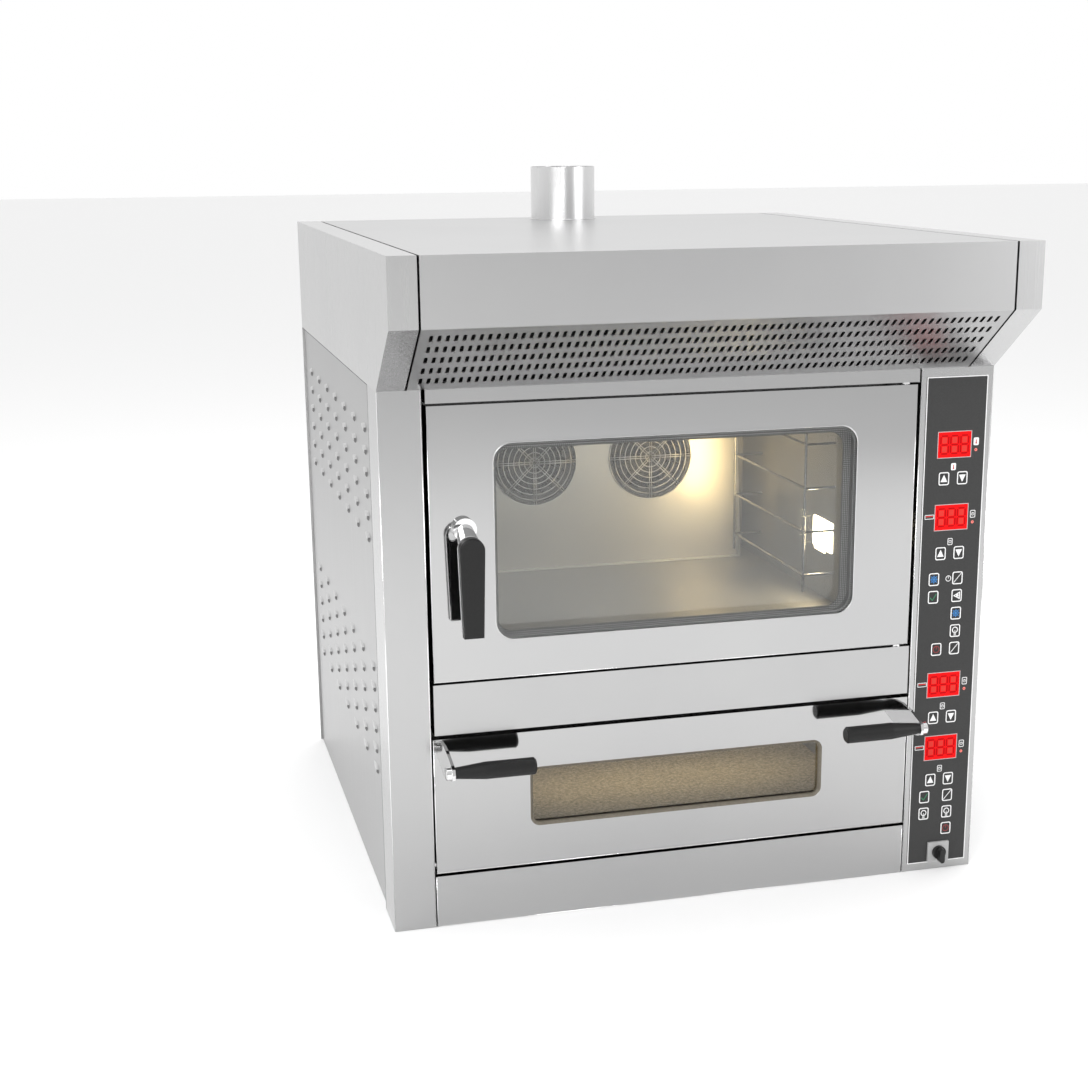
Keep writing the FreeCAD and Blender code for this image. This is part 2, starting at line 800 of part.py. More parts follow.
def make_insulation():
    """Blankets over the two chambers, left open at the front and rear."""
    oven_x = (across(d.chamber_left) - 43, across(d.chamber_left + d.chamber_wide) + 43)
    oven_y = (back(92), chamber_rear)
    oven_z = (d.shelf_high + 6, d.body_high - 4)
    wall = d.chamber_wall
    hollow = block("oven_hollow", (oven_x[0] + 40, oven_x[1] - 40), (oven_y[0] - 1, oven_y[1] + 1),
                   (d.chamber_low - wall, d.chamber_low + d.chamber_high + wall))
    lamp = block("lamp_pocket", (across(d.chamber_left + d.chamber_wide), oven_x[1] + 1),
                 (lamp_y[0] - 2, lamp_y[1] + 2), (lamp_z[0] - 2, lamp_z[1] + 2))
    upper = cut("oven_blanket", block("oven_wool", oven_x, oven_y, oven_z), [hollow, lamp])

    deck_x = (deck_inner_x[0] - 38, deck_inner_x[1] + 38)
    deck_y = (back(d.deck_jamb_back) + d.sheet + 1, deck_rear)
    deck_top = d.deck_chamber_low + d.deck_chamber_high + wall
    deck_hollow = block("deck_hollow", (deck_inner_x[0] - wall, deck_inner_x[1] + wall),
                        (deck_y[0] - 1, deck_y[1] + 1), (0, deck_top))
    lower = cut("deck_blanket", block("deck_wool", deck_x, deck_y,
                                      (d.deck_chamber_low - wall, deck_top + 42)), [deck_hollow])
    return node(group("insulation", [upper, lower]), "insulation")


# ---------------------------------------------------------------- deck oven


def make_deck_chamber():
    wall = d.chamber_wall
    x = (deck_inner_x[0] - wall, deck_inner_x[1] + wall)
    z = (d.deck_chamber_low - wall, d.deck_chamber_low + d.deck_chamber_high + wall)
    liner = tray("deck_liner", x, (back(d.deck_jamb_back) + d.sheet, deck_rear), z, wall, ["y-"])
    ledges = [block(f"stone_ledge_{i}", ledge_x, (back(62), deck_rear - wall),
                    (d.deck_chamber_low - 1, stone_low))
              for i, ledge_x in enumerate(((deck_inner_x[0] - 1, deck_inner_x[0] + 12),
                                           (deck_inner_x[1] - 12, deck_inner_x[1] + 1)))]
    return node(fuse("deck_chamber", [liner] + ledges), "deck_chamber")


def make_stone():
    stone = slab("deck_stone", "z", [(deck_inner_x[0] + 2, back(62)),
                                     (deck_inner_x[1] - 2, back(62)),
                                     (deck_inner_x[1] - 2, deck_rear - d.chamber_wall - 2),
                                     (deck_inner_x[0] + 2, deck_rear - d.chamber_wall - 2)],
                 stone_low, d.stone_thick)
    return node(stone, "deck_stone")


# ---------------------------------------------------------------- oven door


def hollow_door(name, x, z, thick, core_x, core_z):
    """Folded door casing, hollow round a solid core that carries the glass."""
    s = d.sheet
    outer = block(name + "_outer", x, (front, front + thick), z)
    void = cut(name + "_void",
               block(name + "_space", (x[0] + s, x[1] - s), (front + s, front + thick - s),
                     (z[0] + s, z[1] - s)),
               [block(name + "_core", core_x, (front, front + thick), core_z)])
    return outer, void


def make_door():
    x = (door_x[0], door_x[1])
    core = d.pane_border + 5
    outer, void = hollow_door("door", x, door_z, d.door_thick,
                              (window_x[0] - core, window_x[1] + core),
                              (window_z[0] - core, window_z[1] + core))
    s = d.sheet
    opening = rounded_plate("door_opening", window_x, (front - 1, front + s + 1), window_z,
                            d.window_corner)
    border = d.pane_border + 0.3
    pocket = block("pane_pocket", (window_x[0] - border, window_x[1] + border),
                   (front + s, front + d.door_thick - s),
                   (window_z[0] - border, window_z[1] + border))
    inner_opening = rounded_plate(
        "door_inner_opening", (window_x[0] - 5, window_x[1] + 5),
        (front + d.door_thick - s - 1, front + d.door_thick + 1),
        (window_z[0] - 5, window_z[1] + 5), d.window_corner)
    shaft = rod("door_shaft_bore", "y", (handle_x, front - 1, d.handle_up),
                d.shaft_radius + d.pin_clearance, d.door_thick + 2)
    pins = rod("door_pin_bore", "z", (hinge_x, hinge_y, d.door_low - 1),
               d.pin_radius + d.pin_clearance, d.door_high + 2)
    return node(cut("door_shell", outer, [void, opening, pocket, inner_opening, shaft, pins]),
                "door_shell")


def make_panes():
    border = d.pane_border
    x = (window_x[0] - border, window_x[1] + border)
    z = (window_z[0] - border, window_z[1] + border)
    s = d.sheet
    outer = slab("outer_pane", "y", rectangle(x, z), front + s, d.pane_thick)
    inner = slab("inner_pane", "y", rectangle(x, z), front + d.door_thick - s - d.pane_thick,
                 d.pane_thick)
    return node(group("door_glass", [outer, inner]), "door_glass")


def draw_lever_outline(sketch):
    """Rounded head, straight flanks and a narrower foot, seen from the front."""
    centre_z = d.handle_up - d.grip_drop
    foot_z = centre_z - d.grip_long
    half_foot = d.grip_foot_wide / 2
    centre = FreeCAD.Vector(handle_x.number, centre_z.number, 0)
    radius = d.grip_radius.number
    up = FreeCAD.Vector(0, 0, 1)
    head = Part.ArcOfCircle(Part.Circle(centre, up, radius), 0, math.pi)
    right_head = centre + FreeCAD.Vector(radius, 0, 0)
    left_head = centre - FreeCAD.Vector(radius, 0, 0)
    right_foot = FreeCAD.Vector((handle_x + half_foot).number, foot_z.number, 0)
    left_foot = FreeCAD.Vector((handle_x - half_foot).number, foot_z.number, 0)
    sketch.addGeometry(head, False)
    sketch.addGeometry(Part.LineSegment(left_head, left_foot), False)
    sketch.addGeometry(Part.LineSegment(left_foot, right_foot), False)
    sketch.addGeometry(Part.LineSegment(right_foot, right_head), False)
    for a, a_end, b, b_end in ((0, 2, 1, 1), (1, 2, 2, 1), (2, 2, 3, 1), (3, 2, 0, 1)):
        sketch.addConstraint(Sketcher.Constraint("Coincident", a, a_end, b, b_end))
    sketch.addConstraint(Sketcher.Constraint("Horizontal", 0, 3, 0, 1))
    sketch.addConstraint(Sketcher.Constraint("Horizontal", 0, 3, 0, 2))
    index = sketch.addConstraint(Sketcher.Constraint("Radius", 0, radius))
    sketch.setExpression(f"Constraints[{index}]", d.grip_radius.text)
    pin_down(sketch, 0, 3, (handle_x, centre_z))
    pin_down(sketch, 2, 1, (handle_x - half_foot, foot_z))
    pin_down(sketch, 2, 2, (handle_x + half_foot, foot_z))


def make_lever():
    """Hub, shaft, latch nose, neck and the metal spine behind the grip."""
    gap = 0.3
    spine_front = front - d.grip_front + d.grip_thick
    spine_back = spine_front + d.spine_thick
    hub = rod("lever_hub", "y", (handle_x, front - d.hub_thick, d.handle_up), d.hub_radius,
              d.hub_thick - gap)
    shaft = rod("lever_shaft", "y", (handle_x, front - 2, d.handle_up), d.shaft_radius,
                d.jamb_back + 20)
    nose = block("latch_nose", (handle_x - d.latch_reach, handle_x + d.latch_reach),
                 (back(d.jamb_back) + 6, back(d.jamb_back) + 16),
                 (d.handle_up - 5, d.handle_up + 5))
    neck = new_body("lever_neck")
    near = new_sketch(neck, "neck_at_hub", "y", front - d.hub_thick + 1)
    draw_circle(near, (handle_x, d.handle_up - 4), d.hub_radius - 4.5)
    far = new_sketch(neck, "neck_at_spine", "y", spine_back - 1)
    draw_circle(far, (handle_x, d.handle_up - d.grip_drop + 1), d.grip_radius - 2)
    doc.recompute()
    loft = neck.newObject("PartDesign::AdditiveLoft", "neck_loft")
    loft.Profile = near
    loft.Sections = [far]
    doc.recompute()
    spine = new_body("lever_spine")
    outline = new_sketch(spine, "spine_outline", "y", spine_front)
    draw_lever_outline(outline)
    pad(spine, outline, "y", d.spine_thick)
    return node(fuse("handle_lever", [hub, shaft, nose, neck, spine]), "handle_lever")


def make_grip():
    grip = new_body("handle_grip")
    outline = new_sketch(grip, "grip_outline", "y", front - d.grip_front)
    draw_lever_outline(outline)
    feature = pad(grip, outline, "y", d.grip_thick)
    face_edges = []
    for number, edge in enumerate(feature.Shape.Edges, start=1):
        if abs(edge.CenterOfMass.y - (front - d.grip_front).number) < 0.01:
            face_edges.append(f"Edge{number}")
    round_edges(grip, feature, face_edges, 3)
    return node(grip, "handle_grip")


# ---------------------------------------------------------------- deck door


def make_deck_door():
    x = (deck_x[0], deck_x[1])
    wx = (across(d.deck_window_left), across(d.deck_window_left + d.deck_window_wide))
    wz = (d.deck_window_low, d.deck_window_low + d.deck_window_high)
    outer, void = hollow_door("deck_door", x, deck_z, d.deck_thick, (wx[0] - 14, wx[1] + 14),
                              (wz[0] - 14, wz[1] + 14))
    lip = d.deck_window_lip
    opening = rounded_plate("deck_opening", wx, (front - 1, front + lip + 1), wz,
                            d.deck_window_corner)
    pocket = block("deck_pane_pocket", (wx[0] - 8.3, wx[1] + 8.3),
                   (front + lip, front + d.deck_thick + 1), (wz[0] - 8.3, wz[1] + 8.3))
    pins = rod("deck_pin_bore", "x", (deck_x[0] - 1, deck_hinge_y, deck_hinge_z),
               d.pin_radius + d.pin_clearance, d.deck_wide + 2)
    shell = cut("deck_door_plain", outer, [void, opening, pocket, pins])
    doc.recompute()
    rim = []
    for number, edge in enumerate(shell.Shape.Edges, start=1):
        box = edge.BoundBox
        on_face = abs(box.YMin - front.number) < 1e-6 and abs(box.YMax - front.number) < 1e-6
        in_window = box.XMin > wx[0].number - 1 and box.XMax < wx[1].number + 1
        above_foot = box.ZMin > wz[0].number - 1 and box.ZMax < wz[1].number + 1
        if on_face and in_window and above_foot:
            rim.append((number, d.deck_window_bevel.number, d.deck_window_bevel.number))
    bevel = doc.addObject("Part::Chamfer", "deck_door_shell")
    bevel.Base = shell
    bevel.Edges = rim
    pane = slab("deck_door_glass", "y",
                rectangle((wx[0] - 8, wx[1] + 8), (wz[0] - 8, wz[1] + 8)), front + lip,
                d.pane_thick)
    node(bevel, "deck_door_shell")
    node(pane, "deck_door_glass")


def make_arm(name, x_low, cap_x):
    """Flat side arm of a bar handle, with its cap screw outside."""
    bar_y = front - d.bar_out
    body = new_body(name + "_plate")
    sketch = new_sketch(body, name + "_outline", "x", x_low)
    radius = d.arm_end_radius
    mid_y = front - d.bar_out / 2
    draw_polygon(sketch, [(front, d.arm_foot), (front, d.arm_top), (mid_y, d.arm_top - 3),
                          (bar_y, d.bar_up + radius), (bar_y - radius * 0.707, d.bar_up
                                                       + radius * 0.707),
                          (bar_y - radius, d.bar_up),
                          (bar_y - radius * 0.707, d.bar_up - radius * 0.707),
                          (bar_y, d.bar_up - radius), (mid_y, d.arm_foot + 7)])
    pad(body, sketch, "x", d.arm_thick)
    cap = rod(name + "_cap", "x", (cap_x, bar_y, d.bar_up), d.cap_radius, d.cap_thick)
    return fuse(name, [body, cap])


def make_bar(name, x_neck, direction):
    """Turned grip: slim at the arm, then swelling to its full size."""
    bar_y = front - d.bar_out
    body = new_body(name)
    sketch = new_sketch(body, name + "_half", "z", d.bar_up)
    end = x_neck + d.bar_long * direction
    swell = x_neck + d.bar_neck_long * direction
    corner = end - 3 * direction
    draw_polygon(sketch, [(x_neck, bar_y), (end, bar_y), (end, bar_y - d.bar_radius + 3),
                          (corner, bar_y - d.bar_radius), (swell, bar_y - d.bar_radius),
                          (x_neck, bar_y - d.bar_neck_radius)])
    doc.recompute()
    turn = body.newObject("PartDesign::Revolution", name + "_turned")
    turn.Profile = sketch
    turn.ReferenceAxis = (sketch, ["Edge1"])
    turn.Angle = 360
    doc.recompute()
    return body


def make_deck_handles():
    left_low = across(d.arm_left)
    right_low = left_low + d.arm_spacing
    arms = [make_arm("left_arm", left_low, left_low - d.cap_thick),
            make_arm("right_arm", right_low, right_low + d.arm_thick)]
    node(group("deck_handle_arms", arms), "deck_handle_arms")
    bars = [make_bar("left_bar", left_low + d.arm_thick, 1),
            make_bar("right_bar", right_low, -1)]
    node(group("deck_handle_grips", bars), "deck_handle_grips")


def make_hinge_pins():
    """Two upright pins for the oven door and two level pins for the deck door."""
    long = d.pin_long
    pins = [
        rod("oven_pin_top", "z", (hinge_x, hinge_y, d.strip_low - long), d.pin_radius, long),
        rod("oven_pin_foot", "z", (hinge_x, hinge_y, d.shelf_high), d.pin_radius, long),
        rod("deck_pin_left", "x", (left + d.left_column_wide, deck_hinge_y, deck_hinge_z),
            d.pin_radius, long),
        rod("deck_pin_right", "x", (right - d.control_wide - long, deck_hinge_y, deck_hinge_z),
            d.pin_radius, long),
    ]
    return node(group("hinge_pins", pins), "hinge_pins")


# ------------------------------------------------------------ control panel

# Heights of the four displays and of the key rows under them.
DISPLAY_HEIGHTS = {"oven_temperature": 759.0, "oven_time": 635.5,
                   "deck_top_heat": 341.0, "deck_base_heat": 226.6}
KEY_PAIR_HEIGHTS = {"oven_temperature": 702.0, "oven_time": 573.6,
                    "deck_top_heat": 282.2, "deck_base_heat": 168.0}
OVEN_FUNCTIONS_TOP = 529.3
DECK_FUNCTIONS_TOP = 137.2
COLUMN_FAR_LEFT = -27.8
COLUMN_LEFT = -17.7
COLUMN_RIGHT = 15.8


def key_places():
    """Every key as name: (offset from the panel's middle, height)."""
    places = {}
    for zone, height in KEY_PAIR_HEIGHTS.items():
        places[f"key_{zone}_up"] = (COLUMN_LEFT, height)
        places[f"key_{zone}_down"] = (COLUMN_RIGHT, height)
    pitch = d.key_row_pitch
    oven_rows = [
        (("steam_more", COLUMN_FAR_LEFT), ("steam_off", COLUMN_RIGHT)),
        (("oven_start", COLUMN_FAR_LEFT), ("fan_speed", COLUMN_RIGHT)),
        (("steam_pulse", COLUMN_RIGHT),),
        (("oven_light", COLUMN_RIGHT),),
        (("oven_power", COLUMN_LEFT), ("oven_cancel", COLUMN_RIGHT)),
    ]
    for line, row_keys in enumerate(oven_rows):
        for key_name, offset in row_keys:
            places["key_" + key_name] = (offset, OVEN_FUNCTIONS_TOP - pitch * line)
    deck_rows = [
        (("deck_start", COLUMN_FAR_LEFT), ("deck_cancel", COLUMN_RIGHT)),
        (("deck_light", COLUMN_FAR_LEFT), ("hood_light", COLUMN_RIGHT)),
        (("deck_power", COLUMN_RIGHT),),
    ]
    for line, row_keys in enumerate(deck_rows):
        for key_name, offset in row_keys:
            places["key_" + key_name] = (offset, DECK_FUNCTIONS_TOP - pitch * line)
    return places


def centred(middle, size):
    return (as_size(middle) - size / 2, as_size(middle) + size / 2)


def make_control_panel():
    y = (front - d.overlay_thick, front)
    film = rounded_plate("overlay_film", centred(panel_x, d.overlay_wide), y,
                         (d.overlay_low, d.overlay_low + d.overlay_high), 4)
    tools = []
    screens = []
    for zone, height in DISPLAY_HEIGHTS.items():
        x = centred(panel_x - 0.8, d.display_wide)
        z = centred(height, d.display_high)
        tools.append(block(f"{zone}_window", (x[0] - 0.2, x[1] + 0.2), (y[0] - 1, y[1] + 1),
                           (z[0] - 0.2, z[1] + 0.2)))
        screens.append(block(f"{zone}_screen", x, (y[0] + 0.1, back(10)), z))
    play = d.key_clearance
    for key_name, (offset, height) in key_places().items():
        x = centred(panel_x + offset, d.key_wide)
        z = centred(height, d.key_high)
        tools.append(rounded_plate(key_name + "_hole", (x[0] - play, x[1] + play),
                                   (y[0] - 1, y[1] + 1), (z[0] - play, z[1] + play),
                                   d.key_corner + play))
        y_low = y[0] - d.key_proud
        node(rounded_plate(key_name, x, (y_low, y_low + d.key_thick), z, d.key_corner), key_name)
    tools.append(rod("switch_hole", "y", (panel_x + 2, y[0] - 1, d.switch_up), 6, 4))
    node(cut("control_overlay", film, tools), "control_overlay")
    node(group("displays", screens), "displays")

    board = block("board", centred(panel_x, d.overlay_wide - 18), (back(10), back(11.6)),
                  (60, 830))
    relays = [block(f"relay_{i}", centred(panel_x + 14, 28), (back(11.6), back(30)),
                    (110 + 130 * i, 150 + 130 * i)) for i in range(5)]
    node(fuse("controller_board", [board] + relays), "controller_board")

    plate_y = (y[0] - d.switch_plate_thick, y[0])
    plate = rounded_plate("switch_face", centred(panel_x + 2, d.switch_plate_wide), plate_y,
                          centred(d.switch_up, d.switch_plate_high), 1.5)
    bore = rod("switch_bore", "y", (panel_x + 2, plate_y[0] - 1, d.switch_up), 4.06,
               d.switch_plate_thick + 2)
    node(cut("switch_plate", plate, [bore]), "switch_plate")

    base_y = plate_y[0] - 0.3
    knob = fuse("main_switch_knob", [
        rod("knob_shaft", "y", (panel_x + 2, base_y - 2, d.switch_up), 4, 16),
        rod("knob_base", "y", (panel_x + 2, base_y - 6, d.switch_up), d.knob_radius, 6),
        rounded_plate("knob_pointer", centred(panel_x + 2, 9), (base_y - 18, base_y - 5),
                      (d.switch_up - 15, d.switch_up + 11), 4),
    ])
    node(knob, "main_switch_knob")


# ----------------------------------------------------------- shared places

panel_x = right - d.control_wide / 2
canopy_wide = d.wide - (d.cheek_wide + d.cheek_gap) * 2
flue_x = d.flue_right
flue_y = back(d.flue_back)
door_x = (across(d.door_left), across(d.door_left + d.door_wide))
door_z = (d.door_low, d.door_low + d.door_high)
window_x = centred(across(d.door_left + d.door_wide / 2), d.window_wide)
window_z = (door_z[0] + d.window_above, door_z[0] + d.window_above + d.window_high)
mouth_x = (window_x[0] - d.mouth_border, window_x[1] + d.mouth_border)
mouth_z = (window_z[0] - d.mouth_border - 4, window_z[1] + d.mouth_border)
handle_x = across(d.handle_left)
hinge_x = door_x[1] - d.hinge_from_edge
hinge_y = back(d.hinge_behind)
chamber_rear = back(d.jamb_back + d.sheet + d.chamber_deep + d.chamber_wall)
fan_middle = across(d.chamber_left + d.chamber_wide / 2)
fan_places = (fan_middle - d.fan_spacing / 2, fan_middle + d.fan_spacing / 2)
lamp_y = centred(back(d.lamp_back), d.lamp_wide)
lamp_z = centred(d.lamp_up, d.lamp_high)
deck_x = (across(d.deck_left), across(d.deck_left + d.deck_wide))
deck_z = (d.deck_low, d.deck_low + d.deck_high)
deck_hinge_y = back(d.deck_hinge)
deck_hinge_z = d.deck_low + d.deck_hinge
deck_inner_x = (across(d.deck_chamber_left),
                across(d.deck_chamber_left + d.deck_chamber_wide))
deck_rear = back(d.deck_jamb_back + d.sheet + d.deck_chamber_deep + d.chamber_wall)
stone_low = d.deck_chamber_low + 15

# -------------------------------------------------------------- build it all

make_base_pan()
make_side_panel("left_side_panel", left + d.side_inset, 1)
make_side_panel("right_side_panel", right - d.side_inset, -1)
make_rear_panel()
make_left_column()
make_control_column()
make_front_frame()
make_lower_panel()
make_hood()
make_grille()
make_chamber()
make_baffle()
make_fan_guards()
make_fan_wheel("fan_wheel_left", fan_places[0])
make_fan_wheel("fan_wheel_right", fan_places[1])
make_motors()
make_heaters()
make_racks()
make_lamp()
make_gasket()
make_insulation()
make_deck_chamber()
make_stone()
make_door()
make_panes()
make_lever()
make_grip()
make_deck_door()
make_deck_handles()
make_hinge_pins()
make_control_panel()

doc.recompute()

# ------------------------------------------------------- check, then export

for item in doc.Objects:
    if "Invalid" in item.State or "Error" in item.State:
        raise RuntimeError(f"{item.Label} did not build: {item.State}")
for item in nodes:
    if item.Shape.isNull() or not item.Shape.isValid():
        raise RuntimeError(f"{item.Label} has no valid shape")

os.makedirs("parts", exist_ok=True)
for item in nodes:
    item.Shape.exportStep(f"parts/{item.Label}.step")
print(len(nodes), "sub-parts written")
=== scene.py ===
import json
import math

import bmesh
import bpy
from mathutils import Matrix, Vector

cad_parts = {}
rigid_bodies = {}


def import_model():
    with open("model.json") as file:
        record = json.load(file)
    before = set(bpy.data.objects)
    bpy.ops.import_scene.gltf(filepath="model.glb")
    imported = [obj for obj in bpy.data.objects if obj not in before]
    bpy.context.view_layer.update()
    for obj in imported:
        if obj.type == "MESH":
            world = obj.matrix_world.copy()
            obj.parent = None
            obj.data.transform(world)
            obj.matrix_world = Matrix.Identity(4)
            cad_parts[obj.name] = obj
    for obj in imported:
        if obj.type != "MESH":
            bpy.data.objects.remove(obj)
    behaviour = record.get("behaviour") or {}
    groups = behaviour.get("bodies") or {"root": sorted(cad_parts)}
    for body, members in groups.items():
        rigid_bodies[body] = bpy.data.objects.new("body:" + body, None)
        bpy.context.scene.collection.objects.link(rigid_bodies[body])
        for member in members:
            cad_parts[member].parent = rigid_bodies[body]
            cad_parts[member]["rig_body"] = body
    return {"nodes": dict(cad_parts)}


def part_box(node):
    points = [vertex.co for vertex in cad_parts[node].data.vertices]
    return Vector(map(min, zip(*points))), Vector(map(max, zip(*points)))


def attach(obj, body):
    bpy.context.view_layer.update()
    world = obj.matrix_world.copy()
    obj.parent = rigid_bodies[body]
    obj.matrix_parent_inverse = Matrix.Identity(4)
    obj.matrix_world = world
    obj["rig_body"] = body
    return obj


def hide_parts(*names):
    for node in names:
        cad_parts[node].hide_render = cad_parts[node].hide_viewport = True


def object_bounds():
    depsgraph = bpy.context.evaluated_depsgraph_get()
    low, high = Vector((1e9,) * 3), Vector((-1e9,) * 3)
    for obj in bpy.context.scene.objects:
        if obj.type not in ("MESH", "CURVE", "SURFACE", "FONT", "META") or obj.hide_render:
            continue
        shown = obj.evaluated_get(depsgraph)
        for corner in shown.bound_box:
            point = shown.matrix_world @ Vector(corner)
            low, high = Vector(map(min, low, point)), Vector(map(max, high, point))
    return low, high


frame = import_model()
cad_low, cad_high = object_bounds()

# Looks of a combination bakery oven: satin steel casing, glass doors and a
# lit control column.  Positions come from the CAD nodes.  Units are metres.

NODES = frame["nodes"]
CASING = "casing"


def mm(value):
    return value * 0.001


def ring_angles(count):
    """Angles of evenly spaced points round a circle."""
    return [2 * math.pi * i / count for i in range(count)]


# ------------------------------------------------------------------ materials


def new_material(name, **inputs):
    """Principled material; each keyword is a shader socket with underscores."""
    material = bpy.data.materials.new(name)
    material.use_nodes = True
    shader = material.node_tree.nodes["Principled BSDF"]
    for key, value in inputs.items():
        shader.inputs[key.replace("_", " ")].default_value = value
    return material, shader


def grey(value, alpha=1.0):
    return (value, value, value, alpha)


def add_node(material, kind, **settings):
    node = material.node_tree.nodes.new(kind)
    for key, value in settings.items():
        setattr(node, key, value)
    return node


def link(owner, source, target):
    owner.node_tree.links.new(source, target)


NOISE_LOW, NOISE_HIGH = 0.3, 0.7    # where most of the noise lies


def surface_noise(material, scale, detail, stretch=(1, 1, 1)):
    """Noise over the object's own coordinates, stretched along some axes."""
    place = add_node(material, "ShaderNodeTexCoord")
    mapping = add_node(material, "ShaderNodeMapping")
    mapping.inputs["Scale"].default_value = stretch
    noise = add_node(material, "ShaderNodeTexNoise")
    noise.inputs["Scale"].default_value = scale
    noise.inputs["Detail"].default_value = detail
    link(material, place.outputs["Object"], mapping.inputs["Vector"])
    link(material, mapping.outputs["Vector"], noise.inputs["Vector"])
    return noise.outputs["Fac"]


def spread(material, source, low, high):
    """Map noise, which stays near its middle, onto a range."""
    ramp = add_node(material, "ShaderNodeMapRange")
    ramp.inputs["From Min"].default_value = NOISE_LOW
    ramp.inputs["From Max"].default_value = NOISE_HIGH
    ramp.inputs["To Min"].default_value = low
    ramp.inputs["To Max"].default_value = high
    link(material, source, ramp.inputs["Value"])
    return ramp.outputs["Result"]


def vary_colour(material, shader, source, dark, light):
    ramp = add_node(material, "ShaderNodeValToRGB")
    ramp.color_ramp.elements[0].position = NOISE_LOW
    ramp.color_ramp.elements[0].color = dark
    ramp.color_ramp.elements[1].position = NOISE_HIGH
    ramp.color_ramp.elements[1].color = light
    link(material, source, ramp.inputs["Fac"])
    link(material, ramp.outputs["Color"], shader.inputs["Base Color"])


def bump(material, shader, source, strength, distance):
    node = add_node(material, "ShaderNodeBump")
    node.inputs["Strength"].default_value = strength
    node.inputs["Distance"].default_value = distance
    link(material, source, node.inputs["Height"])
    link(material, node.outputs["Normal"], shader.inputs["Normal"])


def brushed_steel(name, tone, rough, stretch, streaks=0.04):
    """Satin sheet: long fine streaks, faint clouding and a little wear."""
    material, shader = new_material(name, Metallic=1.0)
    streak = surface_noise(material, 1.0, 3.0, stretch)
    cloud = surface_noise(material, 3.5, 3.0)
    link(material, spread(material, streak, rough - streaks * 0.5, rough + streaks),
         shader.inputs["Roughness"])
    vary_colour(material, shader, cloud, (tone * 0.975, tone * 0.975, tone * 0.98, 1),
                (tone * 1.015, tone * 1.015, tone * 1.015, 1))
    bump(material, shader, streak, 0.03, 0.00002)
    return material


def sheet_liner(name, tone, rough, metallic):
    """Heat-dulled oven sheet: soft clouding, faintly warm."""
    material, shader = new_material(name, Metallic=metallic)
    cloud = surface_noise(material, 5.0, 4.0)
    link(material, spread(material, cloud, rough - 0.03, rough + 0.05),
         shader.inputs["Roughness"])
    vary_colour(material, shader, cloud, (tone * 0.94, tone * 0.92, tone * 0.88, 1),
                (tone * 1.04, tone * 1.025, tone * 0.99, 1))
    return material


def mottled(name, dark, light, rough, scale, height=0.0001, **inputs):
    """Cast, moulded or fibrous surface with a fine grain."""
    material, shader = new_material(name, **inputs)
    grain = surface_noise(material, scale, 4.0)
    vary_colour(material, shader, grain, dark, light)
    link(material, spread(material, grain, rough * 0.9, rough * 1.12),
         shader.inputs["Roughness"])
    bump(material, shader, grain, 0.25, height)
    return material


def glowing(name, colour, strength, rough=0.3):
    material, shader = new_material(name, Roughness=rough, Base_Color=colour)
    shader.inputs["Emission Color"].default_value = colour
    glow = surface_noise(material, 30.0, 2.0)
    link(material, spread(material, glow, strength * 0.94, strength * 1.06),
         shader.inputs["Emission Strength"])
    return material


def clear_glass(name, tint):
    material, shader = new_material(name, Base_Color=tint, IOR=1.45)
    shader.inputs["Transmission Weight"].default_value = 1.0
    haze = surface_noise(material, 12.0, 3.0)
    link(material, spread(material, haze, 0.0, 0.003), shader.inputs["Roughness"])
    return material


DOT_HALF_PITCH, DOT_RADIUS = mm(1.6), mm(1.15)


def frit(name, alpha_between, alpha_dot, tone):
    """Printed dots round the edge of a pane, lighter than the print between them."""
    material, shader = new_material(name, Roughness=0.45)
    place = add_node(material, "ShaderNodeTexCoord")
    split = add_node(material, "ShaderNodeSeparateXYZ")
    link(material, place.outputs["Object"], split.inputs["Vector"])
    squares = []
    for axis in ("X", "Z"):
        wrap = add_node(material, "ShaderNodeMath", operation="PINGPONG")
        wrap.inputs[1].default_value = DOT_HALF_PITCH
        link(material, split.outputs[axis], wrap.inputs[0])
        square = add_node(material, "ShaderNodeMath", operation="POWER")
        square.inputs[1].default_value = 2.0
        link(material, wrap.outputs[0], square.inputs[0])
        squares.append(square)
    total = add_node(material, "ShaderNodeMath", operation="ADD")
    link(material, squares[0].outputs[0], total.inputs[0])
    link(material, squares[1].outputs[0], total.inputs[1])
    dot = add_node(material, "ShaderNodeMath", operation="LESS_THAN")
    dot.inputs[1].default_value = DOT_RADIUS ** 2
    link(material, total.outputs[0], dot.inputs[0])
    fade = add_node(material, "ShaderNodeMapRange")
    fade.inputs["To Min"].default_value = alpha_between
    fade.inputs["To Max"].default_value = alpha_dot
    link(material, dot.outputs[0], fade.inputs["Value"])
    link(material, fade.outputs["Result"], shader.inputs["Alpha"])
    vary_colour(material, shader, dot.outputs[0], grey(tone * 0.6), grey(tone * 2.4))
    return material


ALONG_X = (2.5, 900, 900)
ALONG_Y = (900, 2.5, 900)
ALONG_Z = (900, 900, 2.5)

